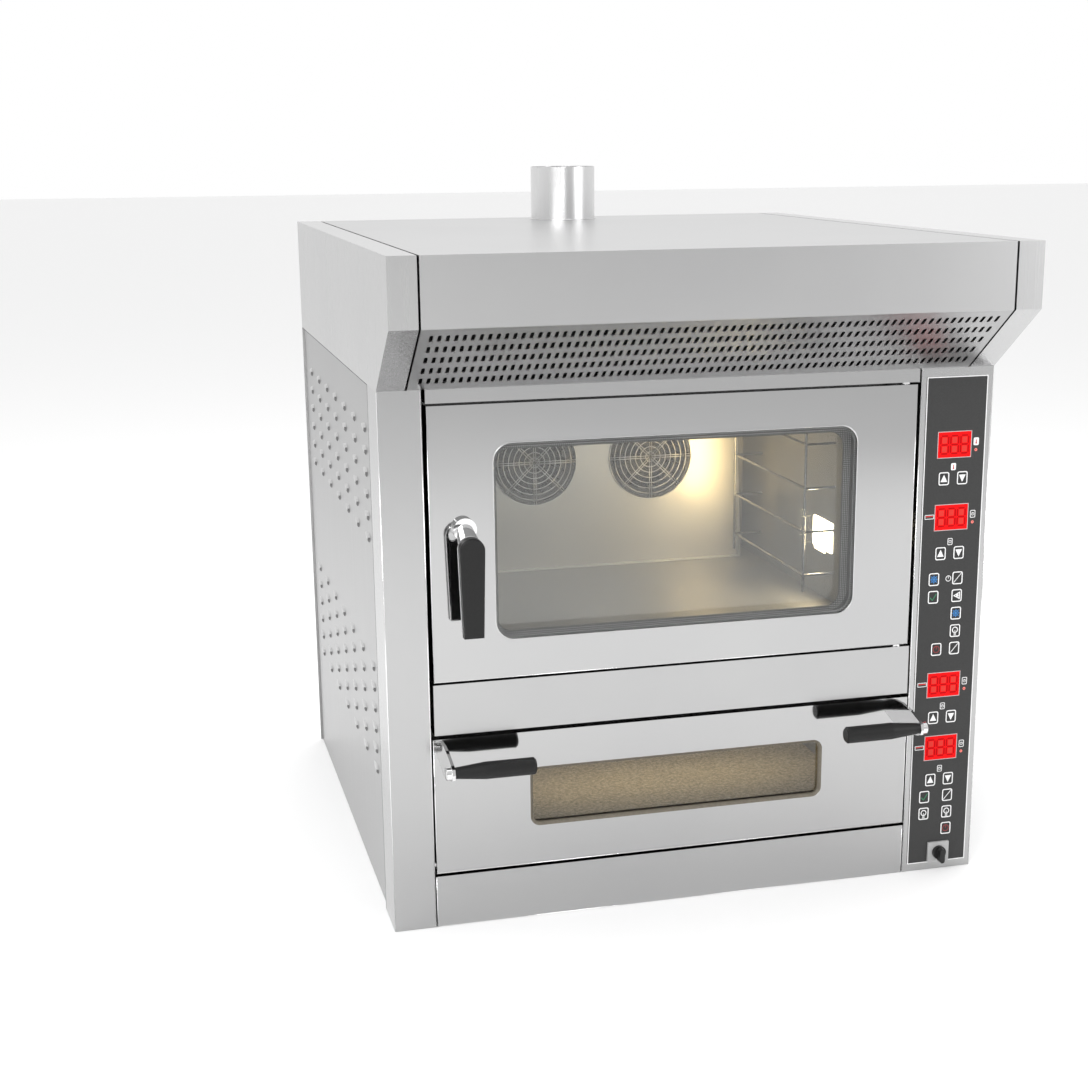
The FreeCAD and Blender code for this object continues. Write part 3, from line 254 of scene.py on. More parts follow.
casing_steel = brushed_steel("casing_steel", 0.43, 0.20, ALONG_X, 0.02)
column_steel = brushed_steel("column_steel", 0.435, 0.22, ALONG_Z, 0.02)
side_steel = brushed_steel("side_steel", 0.37, 0.30, ALONG_Z)
# The hood cheeks take a lighter copy of the casing steel: painted light on the cheeks.
cheek_lit_steel = brushed_steel("cheek_lit_steel", 0.53, 0.26, ALONG_Z, 0.02)
# The louvre bumps take a much lighter steel than the side panels: painted highlight on the bumps.
vent_highlight_steel = brushed_steel("vent_highlight_steel", 0.56, 0.36, ALONG_Y)
vent_shade = mottled("vent_shade", grey(0.13), grey(0.17), 0.6, 200.0, Metallic=0.5)
roof_steel = brushed_steel("roof_steel", 0.50, 0.30, ALONG_X, 0.015)
grille_steel = brushed_steel("grille_steel", 0.42, 0.30, ALONG_X)
door_steel = brushed_steel("door_steel", 0.44, 0.06, ALONG_X, 0.02)
flue_steel = brushed_steel("flue_steel", 0.70, 0.28, ALONG_Z, 0.03)
zinc_steel = mottled("zinc_steel", grey(0.42), grey(0.47), 0.42, 28.0, 0.00002, Metallic=1.0)
liner_steel = sheet_liner("liner_steel", 0.25, 0.42, 0.75)
# The baffle takes a lighter copy of the chamber sheet: painted light on the baffle.
baffle_lit_steel = sheet_liner("baffle_lit_steel", 0.36, 0.40, 0.7)
# A still lighter copy of the chamber sheet for the baffle's foot and flanges: painted highlight.
baffle_edge_highlight = sheet_liner("baffle_edge_highlight", 0.5, 0.35, 0.8)
# Near-black sheet for the fan throats: painted shade behind the guards.
fan_throat_shade = mottled("fan_throat_shade", grey(0.018), grey(0.03), 0.7, 60.0)
# The fan wheels are coloured near-black: painted shade behind the guards.
wheel_steel = mottled("wheel_steel", grey(0.025), grey(0.045), 0.6, 80.0, Metallic=0.3)
rack_wire = brushed_steel("rack_wire", 0.2, 0.24, ALONG_Y, 0.06)
guard_wire = brushed_steel("guard_wire", 0.5, 0.42, ALONG_Y, 0.05)
# Much lighter steel for the edge beads: painted highlight along folded edges and column corners.
edge_highlight_steel = brushed_steel("edge_highlight_steel", 0.9, 0.12, ALONG_Z, 0.03)
polished = brushed_steel("polished", 0.82, 0.05, ALONG_Z, 0.03)
polished_edge = brushed_steel("polished_edge", 0.74, 0.1, ALONG_X, 0.05)
pin_steel = brushed_steel("pin_steel", 0.6, 0.22, ALONG_Z)
heater_steel = mottled("heater_steel", grey(0.05), grey(0.12), 0.5, 200.0, Metallic=0.8)
motor_paint = mottled("motor_paint", grey(0.015), grey(0.03), 0.4, 300.0)
stone_face = mottled("stone_face", (0.13, 0.117, 0.088, 1), (0.37, 0.332, 0.257, 1), 0.85, 190.0,
                     0.0008)
wool_face = mottled("wool_face", (0.6, 0.56, 0.46, 1), (0.85, 0.82, 0.72, 1), 0.95, 260.0, 0.002)
film = mottled("film", grey(0.034), grey(0.044), 0.38, 900.0, 0.00003, Specular_IOR_Level=0.2)
key_film = mottled("key_film", grey(0.026), grey(0.036), 0.34, 900.0, 0.00003,
                   Specular_IOR_Level=0.2)
print_white = mottled("print_white", grey(0.72), grey(0.8), 0.45, 400.0, 0.00002)
print_blue = mottled("print_blue", (0.02, 0.16, 0.42, 1), (0.03, 0.2, 0.5, 1), 0.45, 400.0, 0.00002)
print_green = mottled("print_green", (0.015, 0.14, 0.06, 1), (0.025, 0.19, 0.085, 1), 0.45, 400.0,
                      0.00002)
print_red = mottled("print_red", (0.5, 0.02, 0.02, 1), (0.62, 0.03, 0.03, 1), 0.45, 400.0,
                    0.00002)
power_red = mottled("power_red", (0.17, 0.015, 0.015, 1), (0.24, 0.025, 0.025, 1), 0.45, 400.0,
                    0.00002)
board_green = mottled("board_green", (0.01, 0.12, 0.05, 1), (0.02, 0.2, 0.08, 1), 0.4, 150.0)
switch_grey = mottled("switch_grey", grey(0.36), grey(0.42), 0.42, 700.0, 0.00004)
knob_black = mottled("knob_black", grey(0.012), grey(0.02), 0.3, 700.0, 0.00003,
                     Specular_IOR_Level=0.3)
grip_black = mottled("grip_black", grey(0.010), grey(0.016), 0.36, 900.0, 0.00003,
                     Specular_IOR_Level=0.22)
rubber = mottled("rubber", grey(0.012), grey(0.025), 0.65, 500.0, 0.0001)
seam_grey = mottled("seam_grey", grey(0.08), grey(0.11), 0.6, 200.0)
shadow_black = mottled("shadow_black", grey(0.004), grey(0.008), 0.8, 100.0)
pane_glass = clear_glass("pane_glass", (0.93, 0.94, 0.93, 1))
frit_dots = frit("frit_dots", 0.86, 1.0, 0.16)
frit_solid = frit("frit_solid", 1.0, 1.0, 0.11)
spacer_grey = brushed_steel("spacer_grey", 0.2, 0.35, ALONG_Z)
# Dull brown for the deck window's chamfer and cut edge: painted warm reflection of the lit chamber.
rim_reflection_brown = mottled("rim_reflection_brown", (0.12, 0.105, 0.08, 1), (0.17, 0.15, 0.115, 1), 0.55, 300.0,
                       0.00005)
lamp_glow = glowing("lamp_glow", (1.0, 0.86, 0.6, 1), 9.0)
display_red = glowing("display_red", (0.44, 0.004, 0.005, 1), 1.0, 0.5)
segment_red = glowing("segment_red", (0.24, 0.002, 0.003, 1), 1.0, 0.6)
cell_red = glowing("cell_red", (0.36, 0.024, 0.019, 1), 1.0, 0.6)
bezel_grey = mottled("bezel_grey", grey(0.34), grey(0.44), 0.4, 500.0, 0.00002)
for lit in (display_red, segment_red, cell_red):
    lit.node_tree.nodes["Principled BSDF"].inputs["Specular IOR Level"].default_value = 0.05
led_red = glowing("led_red", (0.75, 0.16, 0.13, 1), 0.45, 0.3)

# Keys take the overlay's darker film; every other node has its own look.
CAD_LOOKS = {
    "base_pan": zinc_steel, "rear_panel": zinc_steel,
    "left_side_panel": side_steel, "right_side_panel": side_steel,
    "left_front_column": column_steel, "control_column": column_steel,
    "front_frame": casing_steel, "lower_panel": casing_steel,
    "hood_cheeks": cheek_lit_steel, "hood_canopy": roof_steel, "hood_grille": grille_steel,
    "flue_collar": flue_steel, "oven_chamber": liner_steel, "air_baffle": baffle_lit_steel,
    "fan_guards": guard_wire, "fan_wheel_left": wheel_steel, "fan_wheel_right": wheel_steel,
    "fan_motors": motor_paint, "heating_elements": heater_steel, "tray_racks": rack_wire,
    "oven_lamp": lamp_glow, "deck_chamber": liner_steel, "deck_stone": stone_face,
    "insulation": wool_face, "control_overlay": film, "displays": display_red,
    "controller_board": board_green, "switch_plate": switch_grey,
    "main_switch_knob": knob_black, "hinge_pins": pin_steel, "door_gasket": rubber,
    "door_shell": door_steel, "door_glass": pane_glass, "handle_lever": polished,
    "handle_grip": grip_black, "deck_door_shell": door_steel,
    "deck_door_glass": pane_glass, "deck_handle_arms": polished,
    "deck_handle_grips": grip_black,
}
for node_name, cad_object in NODES.items():
    cad_object.data.materials.clear()
    cad_object.data.materials.append(CAD_LOOKS.get(node_name, key_film))


# --------------------------------------------------------------- mesh helpers

PRINT = mm(0.12)    # how far a print stands proud
SUNK = mm(0.2)      # how far it goes into the face


class Shape:
    """Vertices and faces gathered for one piece."""

    def __init__(self):
        self.points = []
        self.faces = []

    def add(self, points, faces):
        base = len(self.points)
        self.points.extend(points)
        self.faces.extend([tuple(base + i for i in face) for face in faces])

    def plate(self, outline, y_front, y_back):
        """Solid plate from an (x, z) outline drawn anticlockwise from the front."""
        count = len(outline)
        points = [(x, y_front, z) for x, z in outline] + [(x, y_back, z) for x, z in outline]
        faces = [tuple(range(count)), tuple(reversed(range(count, 2 * count)))]
        for i in range(count):
            j = (i + 1) % count
            faces.append((j, i, i + count, j + count))
        self.add(points, faces)

    def frame(self, outer, inner, y_front, y_back):
        """Plate with a hole: both outlines have the same number of points."""
        count = len(outer)
        points = []
        for y in (y_front, y_back):
            points += [(x, y, z) for x, z in outer] + [(x, y, z) for x, z in inner]
        faces = []
        for i in range(count):
            j = (i + 1) % count
            faces.append((i, j, count + j, count + i))
            faces.append((2 * count + j, 2 * count + i, 3 * count + i, 3 * count + j))
            faces.append((j, i, 2 * count + i, 2 * count + j))
            faces.append((count + i, count + j, 3 * count + j, 3 * count + i))
        self.add(points, faces)

    def ink(self, outline, y, lift=1.0, sunk=SUNK):
        """Thin print on the face at y."""
        self.plate(outline, y - PRINT * lift, y + sunk)

    def ink_ring(self, outer, inner, y, lift=1.0):
        self.frame(outer, inner, y - PRINT * lift, y + SUNK)

    def sweep(self, rings, closed_path=True):
        """Skin through rings of points; each ring is closed."""
        count = len(rings[0])
        base = len(self.points)
        for ring in rings:
            self.points.extend(ring)
        steps = len(rings) if closed_path else len(rings) - 1
        for a in range(steps):
            b = (a + 1) % len(rings)
            for i in range(count):
                j = (i + 1) % count
                self.faces.append((base + a * count + i, base + a * count + j,
                                   base + b * count + j, base + b * count + i))
        if not closed_path:
            self.faces.append(tuple(base + i for i in reversed(range(count))))
            last = base + (len(rings) - 1) * count
            self.faces.append(tuple(last + i for i in range(count)))

    def wire(self, path, radius, sides=10):
        """Round wire along a list of points."""
        rings = []
        for index, point in enumerate(path):
            before = Vector(path[max(index - 1, 0)])
            after = Vector(path[min(index + 1, len(path) - 1)])
            along = (after - before).normalized()
            guide = Vector((0, 0, 1)) if abs(along.z) < 0.9 else Vector((1, 0, 0))
            side = along.cross(guide).normalized()
            up = side.cross(along)
            ring = []
            for angle in ring_angles(sides):
                spot = Vector(point) + (side * math.cos(angle) + up * math.sin(angle)) * radius
                ring.append(tuple(spot))
            rings.append(ring)
        self.sweep(rings, closed_path=False)

    def finish(self, name, material, body, slot_name, smooth=False):
        mesh = bpy.data.meshes.new(name)
        mesh.from_pydata(self.points, [], self.faces)
        mesh.validate()
        mesh.materials.append(material)
        for polygon in mesh.polygons:
            polygon.use_smooth = smooth
        item = bpy.data.objects.new(name, mesh)
        bpy.context.scene.collection.objects.link(item)
        fix_normals(mesh)
        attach(item, body)
        return item


def fix_normals(mesh):
    work = bmesh.new()
    work.from_mesh(mesh)
    bmesh.ops.recalc_face_normals(work, faces=work.faces)
    work.to_mesh(mesh)
    work.free()


def rounded(cx, cz, wide, high, radius, steps=8):
    """Rounded rectangle as (x, z) points, anticlockwise from the front."""
    points = []
    corners = ((1, 1, 0), (-1, 1, 90), (-1, -1, 180), (1, -1, 270))
    for sign_x, sign_z, start in corners:
        mid_x = cx + sign_x * (wide / 2 - radius)
        mid_z = cz + sign_z * (high / 2 - radius)
        for step in range(steps + 1):
            angle = math.radians(start + 90 * step / steps)
            points.append((mid_x + radius * math.cos(angle), mid_z + radius * math.sin(angle)))
    return points


def disc(cx, cz, radius, count=32):
    return [(cx + radius * math.cos(a), cz + radius * math.sin(a)) for a in ring_angles(count)]


def bar(ax, az, bx, bz, width):
    """Straight stroke between two points."""
    length = math.hypot(bx - ax, bz - az)
    nx = -(bz - az) / length * width / 2
    nz = (bx - ax) / length * width / 2
    return [(ax - nx, az - nz), (bx - nx, bz - nz), (bx + nx, bz + nz), (ax + nx, az + nz)]


def bead(points, y, radius, sides=10):
    """Rings of a round bead that follows a closed (x, z) outline."""
    rings = []
    count = len(points)
    for i, (x, z) in enumerate(points):
        ax, az = points[i - 1]
        bx, bz = points[(i + 1) % count]
        along = Vector((bx - ax, 0, bz - az)).normalized()
        out = Vector((along.z, 0, -along.x))
        ring = []
        for angle in ring_angles(sides):
            spot = Vector((x, y, z)) + out * math.cos(angle) * radius
            spot.y += math.sin(angle) * radius
            ring.append(tuple(spot))
        rings.append(ring)
    return rings


# ------------------------------------------------------------- control panel

panel_low, panel_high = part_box("control_overlay")
face_y = panel_low.y
panel_mid = (panel_low + panel_high) / 2

outline = Shape()
border_wide = panel_high.x - panel_low.x
border_high = panel_high.z - panel_low.z
BORDER_LINE = mm(3.2)
outline.ink_ring(rounded(panel_mid.x, panel_mid.z, border_wide, border_high, mm(1)),
                 rounded(panel_mid.x, panel_mid.z, border_wide - BORDER_LINE,
                         border_high - BORDER_LINE, mm(1)), face_y)
outline.finish("panel_border", print_white, CASING, "overlay_film")

THIN, FINE, MEDIUM, BOLD = mm(0.8), mm(1.0), mm(1.1), mm(1.6)    # stroke widths


def key_frame(shape, x, z, high, y):
    wide, line = high * 0.86, mm(3.6)
    shape.ink_ring(rounded(x, z, wide, high, mm(3.6)),
                   rounded(x, z, wide - line, high - line, mm(2.2)), y)


def draw_up(shape, x, z, y, size):
    shape.ink([(x - size * 0.55, z - size * 0.5), (x + size * 0.55, z - size * 0.5),
               (x, z + size * 0.62)], y)


def draw_down(shape, x, z, y, size):
    shape.ink([(x - size * 0.55, z + size * 0.5), (x, z - size * 0.62),
               (x + size * 0.55, z + size * 0.5)], y)


def draw_slash(shape, x, z, y, size):
    dx, dz = size * 0.62, size * 0.72
    shape.ink(bar(x - dx, z - dz, x + dx, z + dz, MEDIUM), y)


def draw_steam(shape, x, z, y, size):
    for turn in range(4):
        angle = math.pi * turn / 4
        reach = size * (0.72 if turn % 2 else 0.66)
        dx, dz = math.cos(angle) * reach, math.sin(angle) * reach
        shape.ink(bar(x - dx, z - dz, x + dx, z + dz, FINE), y, 1 + turn * 0.05)
    shape.ink_ring(disc(x, z, size * 0.5, 8), disc(x, z, size * 0.4, 8), y, 1.3)


def draw_tick(shape, x, z, y, size):
    foot_x, foot_z = x - size * 0.12, z - size * 0.5
    shape.ink(bar(x - size * 0.5, z - size * 0.05, foot_x, foot_z, BOLD), y)
    shape.ink(bar(foot_x, foot_z, x + size * 0.55, z + size * 0.55, BOLD), y, 1.1)


def draw_fan(shape, x, z, y, size):
    shape.ink_ring([(x - size * 0.6, z), (x + size * 0.55, z - size * 0.62),
                    (x + size * 0.55, z + size * 0.62)],
                   [(x - size * 0.32, z), (x + size * 0.38, z - size * 0.36),
                    (x + size * 0.38, z + size * 0.36)], y)
    shape.ink(disc(x + size * 0.12, z, size * 0.2, 20), y)


def draw_bulb(shape, x, z, y, size):
    globe_z = z + size * 0.12
    shape.ink_ring(disc(x, globe_z, size * 0.5, 28), disc(x, globe_z, size * 0.36, 28), y)
    for line in range(3):
        height = z - size * (0.46 + 0.14 * line)
        shape.ink(bar(x - size * 0.2, height, x + size * 0.2, height, THIN), y)
    shape.ink(bar(x, z - size * 0.3, x, z + size * 0.1, THIN), y)


def draw_power(shape, x, z, y, size):
    shape.ink_ring(disc(x, z, size * 0.58), disc(x, z, size * 0.44), y)
    shape.ink(bar(x, z, x, z + size * 0.5, mm(1.3)), y, 1.1)


KEY_PRINTS = {
    "_up": (draw_up, print_white), "_down": (draw_down, print_white),
    "steam_more": (draw_steam, print_blue), "steam_pulse": (draw_steam, print_blue),
    "steam_off": (draw_slash, print_white), "oven_start": (draw_tick, print_green),
    "fan_speed": (draw_fan, print_white), "oven_light": (draw_bulb, print_white),
    "oven_power": (draw_power, power_red), "oven_cancel": (draw_slash, print_white),
    "deck_start": (draw_tick, print_green), "deck_cancel": (draw_slash, print_white),
    "deck_light": (draw_bulb, print_white), "hood_light": (draw_bulb, print_white),
    "deck_power": (draw_power, power_red),
}
SIGN_SIZE = mm(11)
for node_name in sorted(NODES):
    if not node_name.startswith("key_"):
        continue
    low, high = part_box(node_name)
    spot = (low + high) / 2
    body = NODES[node_name]["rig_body"]
    ring = Shape()
    key_frame(ring, spot.x, spot.z, high.z - low.z - mm(0.6), low.y)
    ring.finish(node_name + "_frame", print_white, body, "key_film")
    for ending, (draw, ink) in KEY_PRINTS.items():
        if node_name.endswith(ending):
            sign = Shape()
            draw(sign, spot.x, spot.z, low.y, SIGN_SIZE)
            sign.finish(node_name + "_sign", ink, body, "key_film")

# Each segment: column, line and whether it lies level.
SEGMENTS = ((0, 1, True), (0, 0, True), (0, -1, True), (-1, 0.5, False), (1, 0.5, False),
            (-1, -0.5, False), (1, -0.5, False))
DIGIT_PITCH, DIGIT_HALF_WIDE, DIGIT_HALF_HIGH = mm(18.2), mm(7.0), mm(15.0)
SEGMENT_WIDE = mm(2.6)


def draw_digit(shape, x, z, y):
    """Seven bevelled segments of one digit."""
    tip = SEGMENT_WIDE / 2
    for column, line, level in SEGMENTS:
        cx = x + column * DIGIT_HALF_WIDE
        cz = z + line * DIGIT_HALF_HIGH
        reach = (DIGIT_HALF_WIDE if level else DIGIT_HALF_HIGH / 2) - SEGMENT_WIDE * 0.35
        if level:
            points = [(cx - reach, cz), (cx - reach + tip, cz - tip), (cx + reach - tip, cz - tip),
                      (cx + reach, cz), (cx + reach - tip, cz + tip), (cx - reach + tip, cz + tip)]
        else:
            points = [(cx, cz - reach), (cx + tip, cz - reach + tip), (cx + tip, cz + reach - tip),
                      (cx, cz + reach), (cx - tip, cz + reach - tip), (cx - tip, cz - reach + tip)]
        shape.plate(points, y - mm(0.1), y + SUNK)


screens_low, screens_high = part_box("displays")
display_x = (screens_low.x + screens_high.x) / 2
display_wide, display_high = screens_high.x - screens_low.x, mm(45.2)
DISPLAY_HEIGHTS = [mm(226.6), mm(341.0), mm(635.5), mm(759.0)]
CELL_WIDE, CELL_HIGH, BEZEL = mm(8.6), mm(10.0), mm(1.1)
digits, cells, bezels = Shape(), Shape(), Shape()
for height in DISPLAY_HEIGHTS:
    for place in (-1, 0, 1):
        digit_x = display_x + place * DIGIT_PITCH
        draw_digit(digits, digit_x, height, screens_low.y)
        for half in (-1, 1):
            cells.plate(rounded(digit_x, height + half * DIGIT_HALF_HIGH / 2, CELL_WIDE, CELL_HIGH,
                                mm(1.2), 4), screens_low.y - mm(0.08), screens_low.y + SUNK)
    bezels.frame(rounded(display_x, height, display_wide, display_high, mm(1.4)),
                 rounded(display_x, height, display_wide - 2 * BEZEL, display_high - 2 * BEZEL,
                         mm(0.8)), screens_low.y - mm(0.15), screens_low.y + SUNK)
digits.finish("display_digits", segment_red, CASING, "display_black")
cells.finish("display_cells", cell_red, CASING, "display_black")
bezels.finish("display_edges", bezel_grey, CASING, "display_black")

small_signs, leds, marks = Shape(), Shape(), Shape()
icon_x = panel_mid.x + mm(38.5)
sign_x = panel_mid.x - mm(1)
tag_x = panel_mid.x - mm(41)


def small_square(x, z, wide, high, filled):
    """A pictogram tile: solid with a thermometer, or an outline with a clock."""
    if filled:
        small_signs.ink(rounded(x, z, wide, high, mm(2)), face_y)
        marks.ink(bar(x, z - mm(2.4), x, z + mm(3.2), mm(1.5)), face_y, 2, mm(0.1))
        marks.ink(disc(x, z - mm(2.6), mm(1.5), 20), face_y, 2, mm(0.1))
        return
    small_signs.ink_ring(rounded(x, z, wide, high, mm(2)),
                         rounded(x, z, wide - mm(2.2), high - mm(2.2), mm(1.2)), face_y)
    small_signs.ink_ring(disc(x, z, mm(2.7), 20), disc(x, z, mm(1.9), 20), face_y)
    small_signs.ink(bar(x, z, x, z + mm(1.8), THIN), face_y)


for height in DISPLAY_HEIGHTS:
    top = height + mm(3.5)
    led_z = top - mm(14)
    small_square(icon_x, top, mm(9.5), mm(13), height == DISPLAY_HEIGHTS[-1])
    leds.ink_ring(disc(icon_x, led_z, mm(2.5), 24), disc(icon_x, led_z, mm(1.1), 24), face_y)
TOP_SIGN = mm(721.7)
for height in (TOP_SIGN, mm(593.5), mm(302.3), mm(187.9)):
    small_square(sign_x, height, mm(9), mm(12), height == TOP_SIGN)
CLOCK_Z = mm(529.3)
small_signs.ink_ring(disc(sign_x, CLOCK_Z, mm(5.2), 28), disc(sign_x, CLOCK_Z, mm(4.0), 28), face_y)
small_signs.ink(bar(sign_x, CLOCK_Z, sign_x, CLOCK_Z + mm(3.3), FINE), face_y)
for height in DISPLAY_HEIGHTS[:3]:
    tag_z, line_z = height + mm(2.4), height + mm(3.4)
    small_signs.ink_ring(rounded(tag_x, tag_z, mm(17), mm(7.6), mm(0.8), 4),
                         rounded(tag_x, tag_z, mm(15), mm(5.6), mm(0.4), 4), face_y)
    marks.ink(bar(tag_x - mm(6.8), line_z, tag_x + mm(6.8), line_z, mm(1.8)), face_y)
small_signs.finish("panel_signs", print_white, CASING, "overlay_film")
leds.finish("panel_leds", led_red, CASING, "overlay_film")
marks.finish("panel_marks", print_red, CASING, "overlay_film")

# ---------------------------------------------------------------- side vents

panel_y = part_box("left_side_panel")[0].y
VENT_ROWS = [mm(bottom + 36.2 * i) for bottom in (226.5, 627.5) for i in range(6)]
VENT_COLUMNS = [panel_y + mm(71) + mm(122.4) * i for i in range(7)]
VENT_FRONT, VENT_REAR = mm(11), mm(44)
VENT_HALF_HIGH, VENT_RISE = mm(8), mm(3.5)


def vent_point(x_face, outward, y, z, reach, angle, lift=0.0):
    """A point on the drop-shaped swelling: steep in front, tapering rearward."""
    along = math.cos(angle)
    length = VENT_REAR if along > 0 else VENT_FRONT
    taper = 1 - 0.55 * max(along, 0) * reach
    height = VENT_RISE * (1 - reach * reach) ** (1.3 if along > 0 else 0.7)
    return (x_face + outward * (height + mm(0.03) + lift), y + along * reach * length,
            z + math.sin(angle) * reach * VENT_HALF_HIGH * taper)


def vent_skin(shape, x_face, outward, y, z, angles, reaches, lift=0.0):
    points = [vent_point(x_face, outward, y, z, reach, angle, lift)
              for reach in reaches for angle in angles]
    count = len(angles)
    faces = []
    for row in range(len(reaches) - 1):
        for i in range(count - 1):
            a = row * count + i
            faces.append((a, a + 1, a + count + 1, a + count))
    shape.add(points, faces)


ROUND = [2 * math.pi * i / 24 for i in range(25)]    # closed: the last repeats the first
MOUTH = [math.radians(165 + 9 * i) for i in range(13)]
for node_name, outward in (("left_side_panel", -1), ("right_side_panel", 1)):
    low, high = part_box(node_name)
    x_face = low.x if outward < 0 else high.x
    bumps = Shape()
    mouth_shades = Shape()
    for y in VENT_COLUMNS:
        for z in VENT_ROWS:
            vent_skin(bumps, x_face, outward, y, z, ROUND, [0.02] + [i / 6 for i in range(1, 7)])
            # A near-black patch on each bump's lower front: painted shade of the louvre mouth.
            vent_skin(mouth_shades, x_face, outward, y, z, MOUTH, [0.42, 0.6, 0.78, 0.9, 0.99],
                      mm(0.06))
    # The bumps' lighter steel is a painted highlight.
    bumps.finish(node_name + "_louvres", vent_highlight_steel, CASING, "casing_steel", smooth=True)
    mouth_shades.finish(node_name + "_louvre_mouth_shade", vent_shade, CASING, "casing_steel")

# Fine seams where the side panels meet the hood and the front columns: dark strips fill the recess
# step there, painted shade of the seam gaps.
BOX_FACES = [(0, 1, 3, 2), (4, 6, 7, 5), (0, 4, 5, 1), (2, 3, 7, 6), (0, 2, 6, 4), (1, 5, 7, 3)]
hood_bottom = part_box("hood_cheeks")[0].z
for node_name, outward in (("left_side_panel", -1), ("right_side_panel", 1)):
    low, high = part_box(node_name)
    x_face = low.x if outward < 0 else high.x
    x_edge = cad_low.x if outward < 0 else cad_high.x
    near, far = sorted((x_face, x_edge - outward * mm(0.1)))
    seam = Shape()
    for y_low, y_high, z_low, z_high in (
            (panel_y, high.y - mm(1), hood_bottom - mm(1.7), hood_bottom - mm(0.1)),
            (panel_y + mm(0.05), panel_y + mm(4.5), low.z + mm(1), hood_bottom - mm(1.7))):
        points = [(x, y, z) for x in (near, far) for z in (z_low, z_high) for y in (y_low, y_high)]
        seam.add(points, BOX_FACES)
    seam.finish(node_name + "_seam_shade", seam_grey, CASING, "casing_steel")

# -------------------------------------------------------------- oven window

door_low, door_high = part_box("door_shell")
glass_low, glass_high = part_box("door_glass")
PANE_BORDER = mm(15.5)    # pane hidden behind the door's edge
window_x = (glass_low.x + glass_high.x) / 2
window_z = (glass_low.z + glass_high.z) / 2
window_wide = glass_high.x - glass_low.x - 2 * PANE_BORDER
window_high = glass_high.z - glass_low.z - 2 * PANE_BORDER

rim = Shape()
rim.sweep(bead(rounded(window_x, window_z, window_wide - mm(0.6), window_high - mm(0.6), mm(31),
                       14), door_low.y + mm(0.5), mm(1.0)))
rim.finish("window_rim", pin_steel, "oven_door", "door_steel", smooth=True)


def pane_band(name, material, grow, shrink, outer_radius, inner_radius, y_front, y_back,
              drop=0.0):
    """Printed band that runs round the window; a drop lowers its clear middle."""
    band = Shape()
    mid_z = window_z - (drop if grow < 0 else 0)
    band.frame(rounded(window_x, mid_z, window_wide + grow, window_high + grow, outer_radius, 14),
               rounded(window_x, window_z - drop, window_wide - shrink, window_high - shrink,
                       inner_radius, 14), y_front, y_back)
    return band.finish(name, material, "oven_door", "door_glass")


outer_back = glass_low.y + mm(4)
inner_front = glass_high.y - mm(4)
pane_band("outer_pane_print", frit_solid, mm(8), mm(10), mm(35), mm(27), outer_back + mm(0.05),
          outer_back + mm(0.1))
pane_band("outer_pane_edge_line", seam_grey, -mm(10), mm(11.2), mm(27), mm(26.4),
          outer_back + mm(0.05), outer_back + mm(0.1))
pane_band("inner_pane_print", frit_dots, mm(26), mm(20), mm(38), mm(24), inner_front - mm(0.1),
          inner_front - mm(0.05), mm(6))
pane_band("inner_pane_edge_line", seam_grey, -mm(20), mm(22.4), mm(24), mm(22.8),
          inner_front - mm(0.1), inner_front - mm(0.05), mm(6))
pane_band("pane_spacer", spacer_grey, mm(22), -mm(8), mm(36), mm(34), outer_back + mm(0.3),
          inner_front - mm(0.3))

# A dull brown sheet covers the chamfer and the cut edge of the deck door's window: painted warm
# reflection of the lit chamber in place of the bare steel.
pane_low, pane_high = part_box("deck_door_glass")
pane_x, pane_z = (pane_low.x + pane_high.x) / 2, (pane_low.z + pane_high.z) / 2
DECK_BORDER, DECK_LIP, CHAMFER = mm(8), mm(8), mm(4)
deck_wide = pane_high.x - pane_low.x - 2 * DECK_BORDER
deck_high_clear = pane_high.z - pane_low.z - 2 * DECK_BORDER
deck_face = pane_low.y - DECK_LIP


def deck_outline(grow, radius):
    """The window's outline, grown or shrunk."""
    return rounded(pane_x, pane_z, deck_wide + grow, deck_high_clear + grow, radius, 14)


# Each corner of the chamfer ring's section: depth, outline growth, corner radius.
CHAMFER_SECTION = ((mm(0.05), 2 * CHAMFER - mm(0.2), mm(17)), (CHAMFER, -mm(0.2), mm(13)),
                   (CHAMFER, -mm(0.9), mm(12.6)), (mm(0.05), 2 * CHAMFER - mm(1.2), mm(16.5)))
section_loops = [[(x, deck_face + depth, z) for x, z in deck_outline(grow, radius)]
                 for depth, grow, radius in CHAMFER_SECTION]
chamfer = Shape()
chamfer.sweep([list(corners) for corners in zip(*section_loops)])
chamfer.finish("deck_window_chamfer", rim_reflection_brown, "deck_door", "door_steel")
rim_cover = Shape()
rim_cover.frame(deck_outline(-mm(0.1), mm(13)), deck_outline(-mm(2.2), mm(12)),
             pane_low.y - mm(5.2), pane_low.y - mm(0.1))
rim_cover.finish("deck_window_rim_cover", rim_reflection_brown, "deck_door", "door_steel")

# ------------------------------------------------------------- rear and roof


def countersunk(x, z, y, radius=mm(4.2)):
    """Flush screw in the rear sheet: ringed head with a flat dark cross, painted shade of the cross
    recess.
    """
    y += mm(0.005)
    screw_heads.frame(disc(x, z, radius, 24), disc(x, z, radius * 0.86, 24), y, y - mm(0.5))
    screw_heads.plate(disc(x, z, radius * 0.74, 24), y + mm(0.005), y - mm(0.5))
    for way in (0, 1):
        dx, dz = (radius * 0.45, 0) if way else (0, radius * 0.45)
        screw_cross_shades.plate(bar(x - dx, z - dz, x + dx, z + dz, MEDIUM),
                            y + mm(0.01 + 0.005 * way), y - mm(0.4))


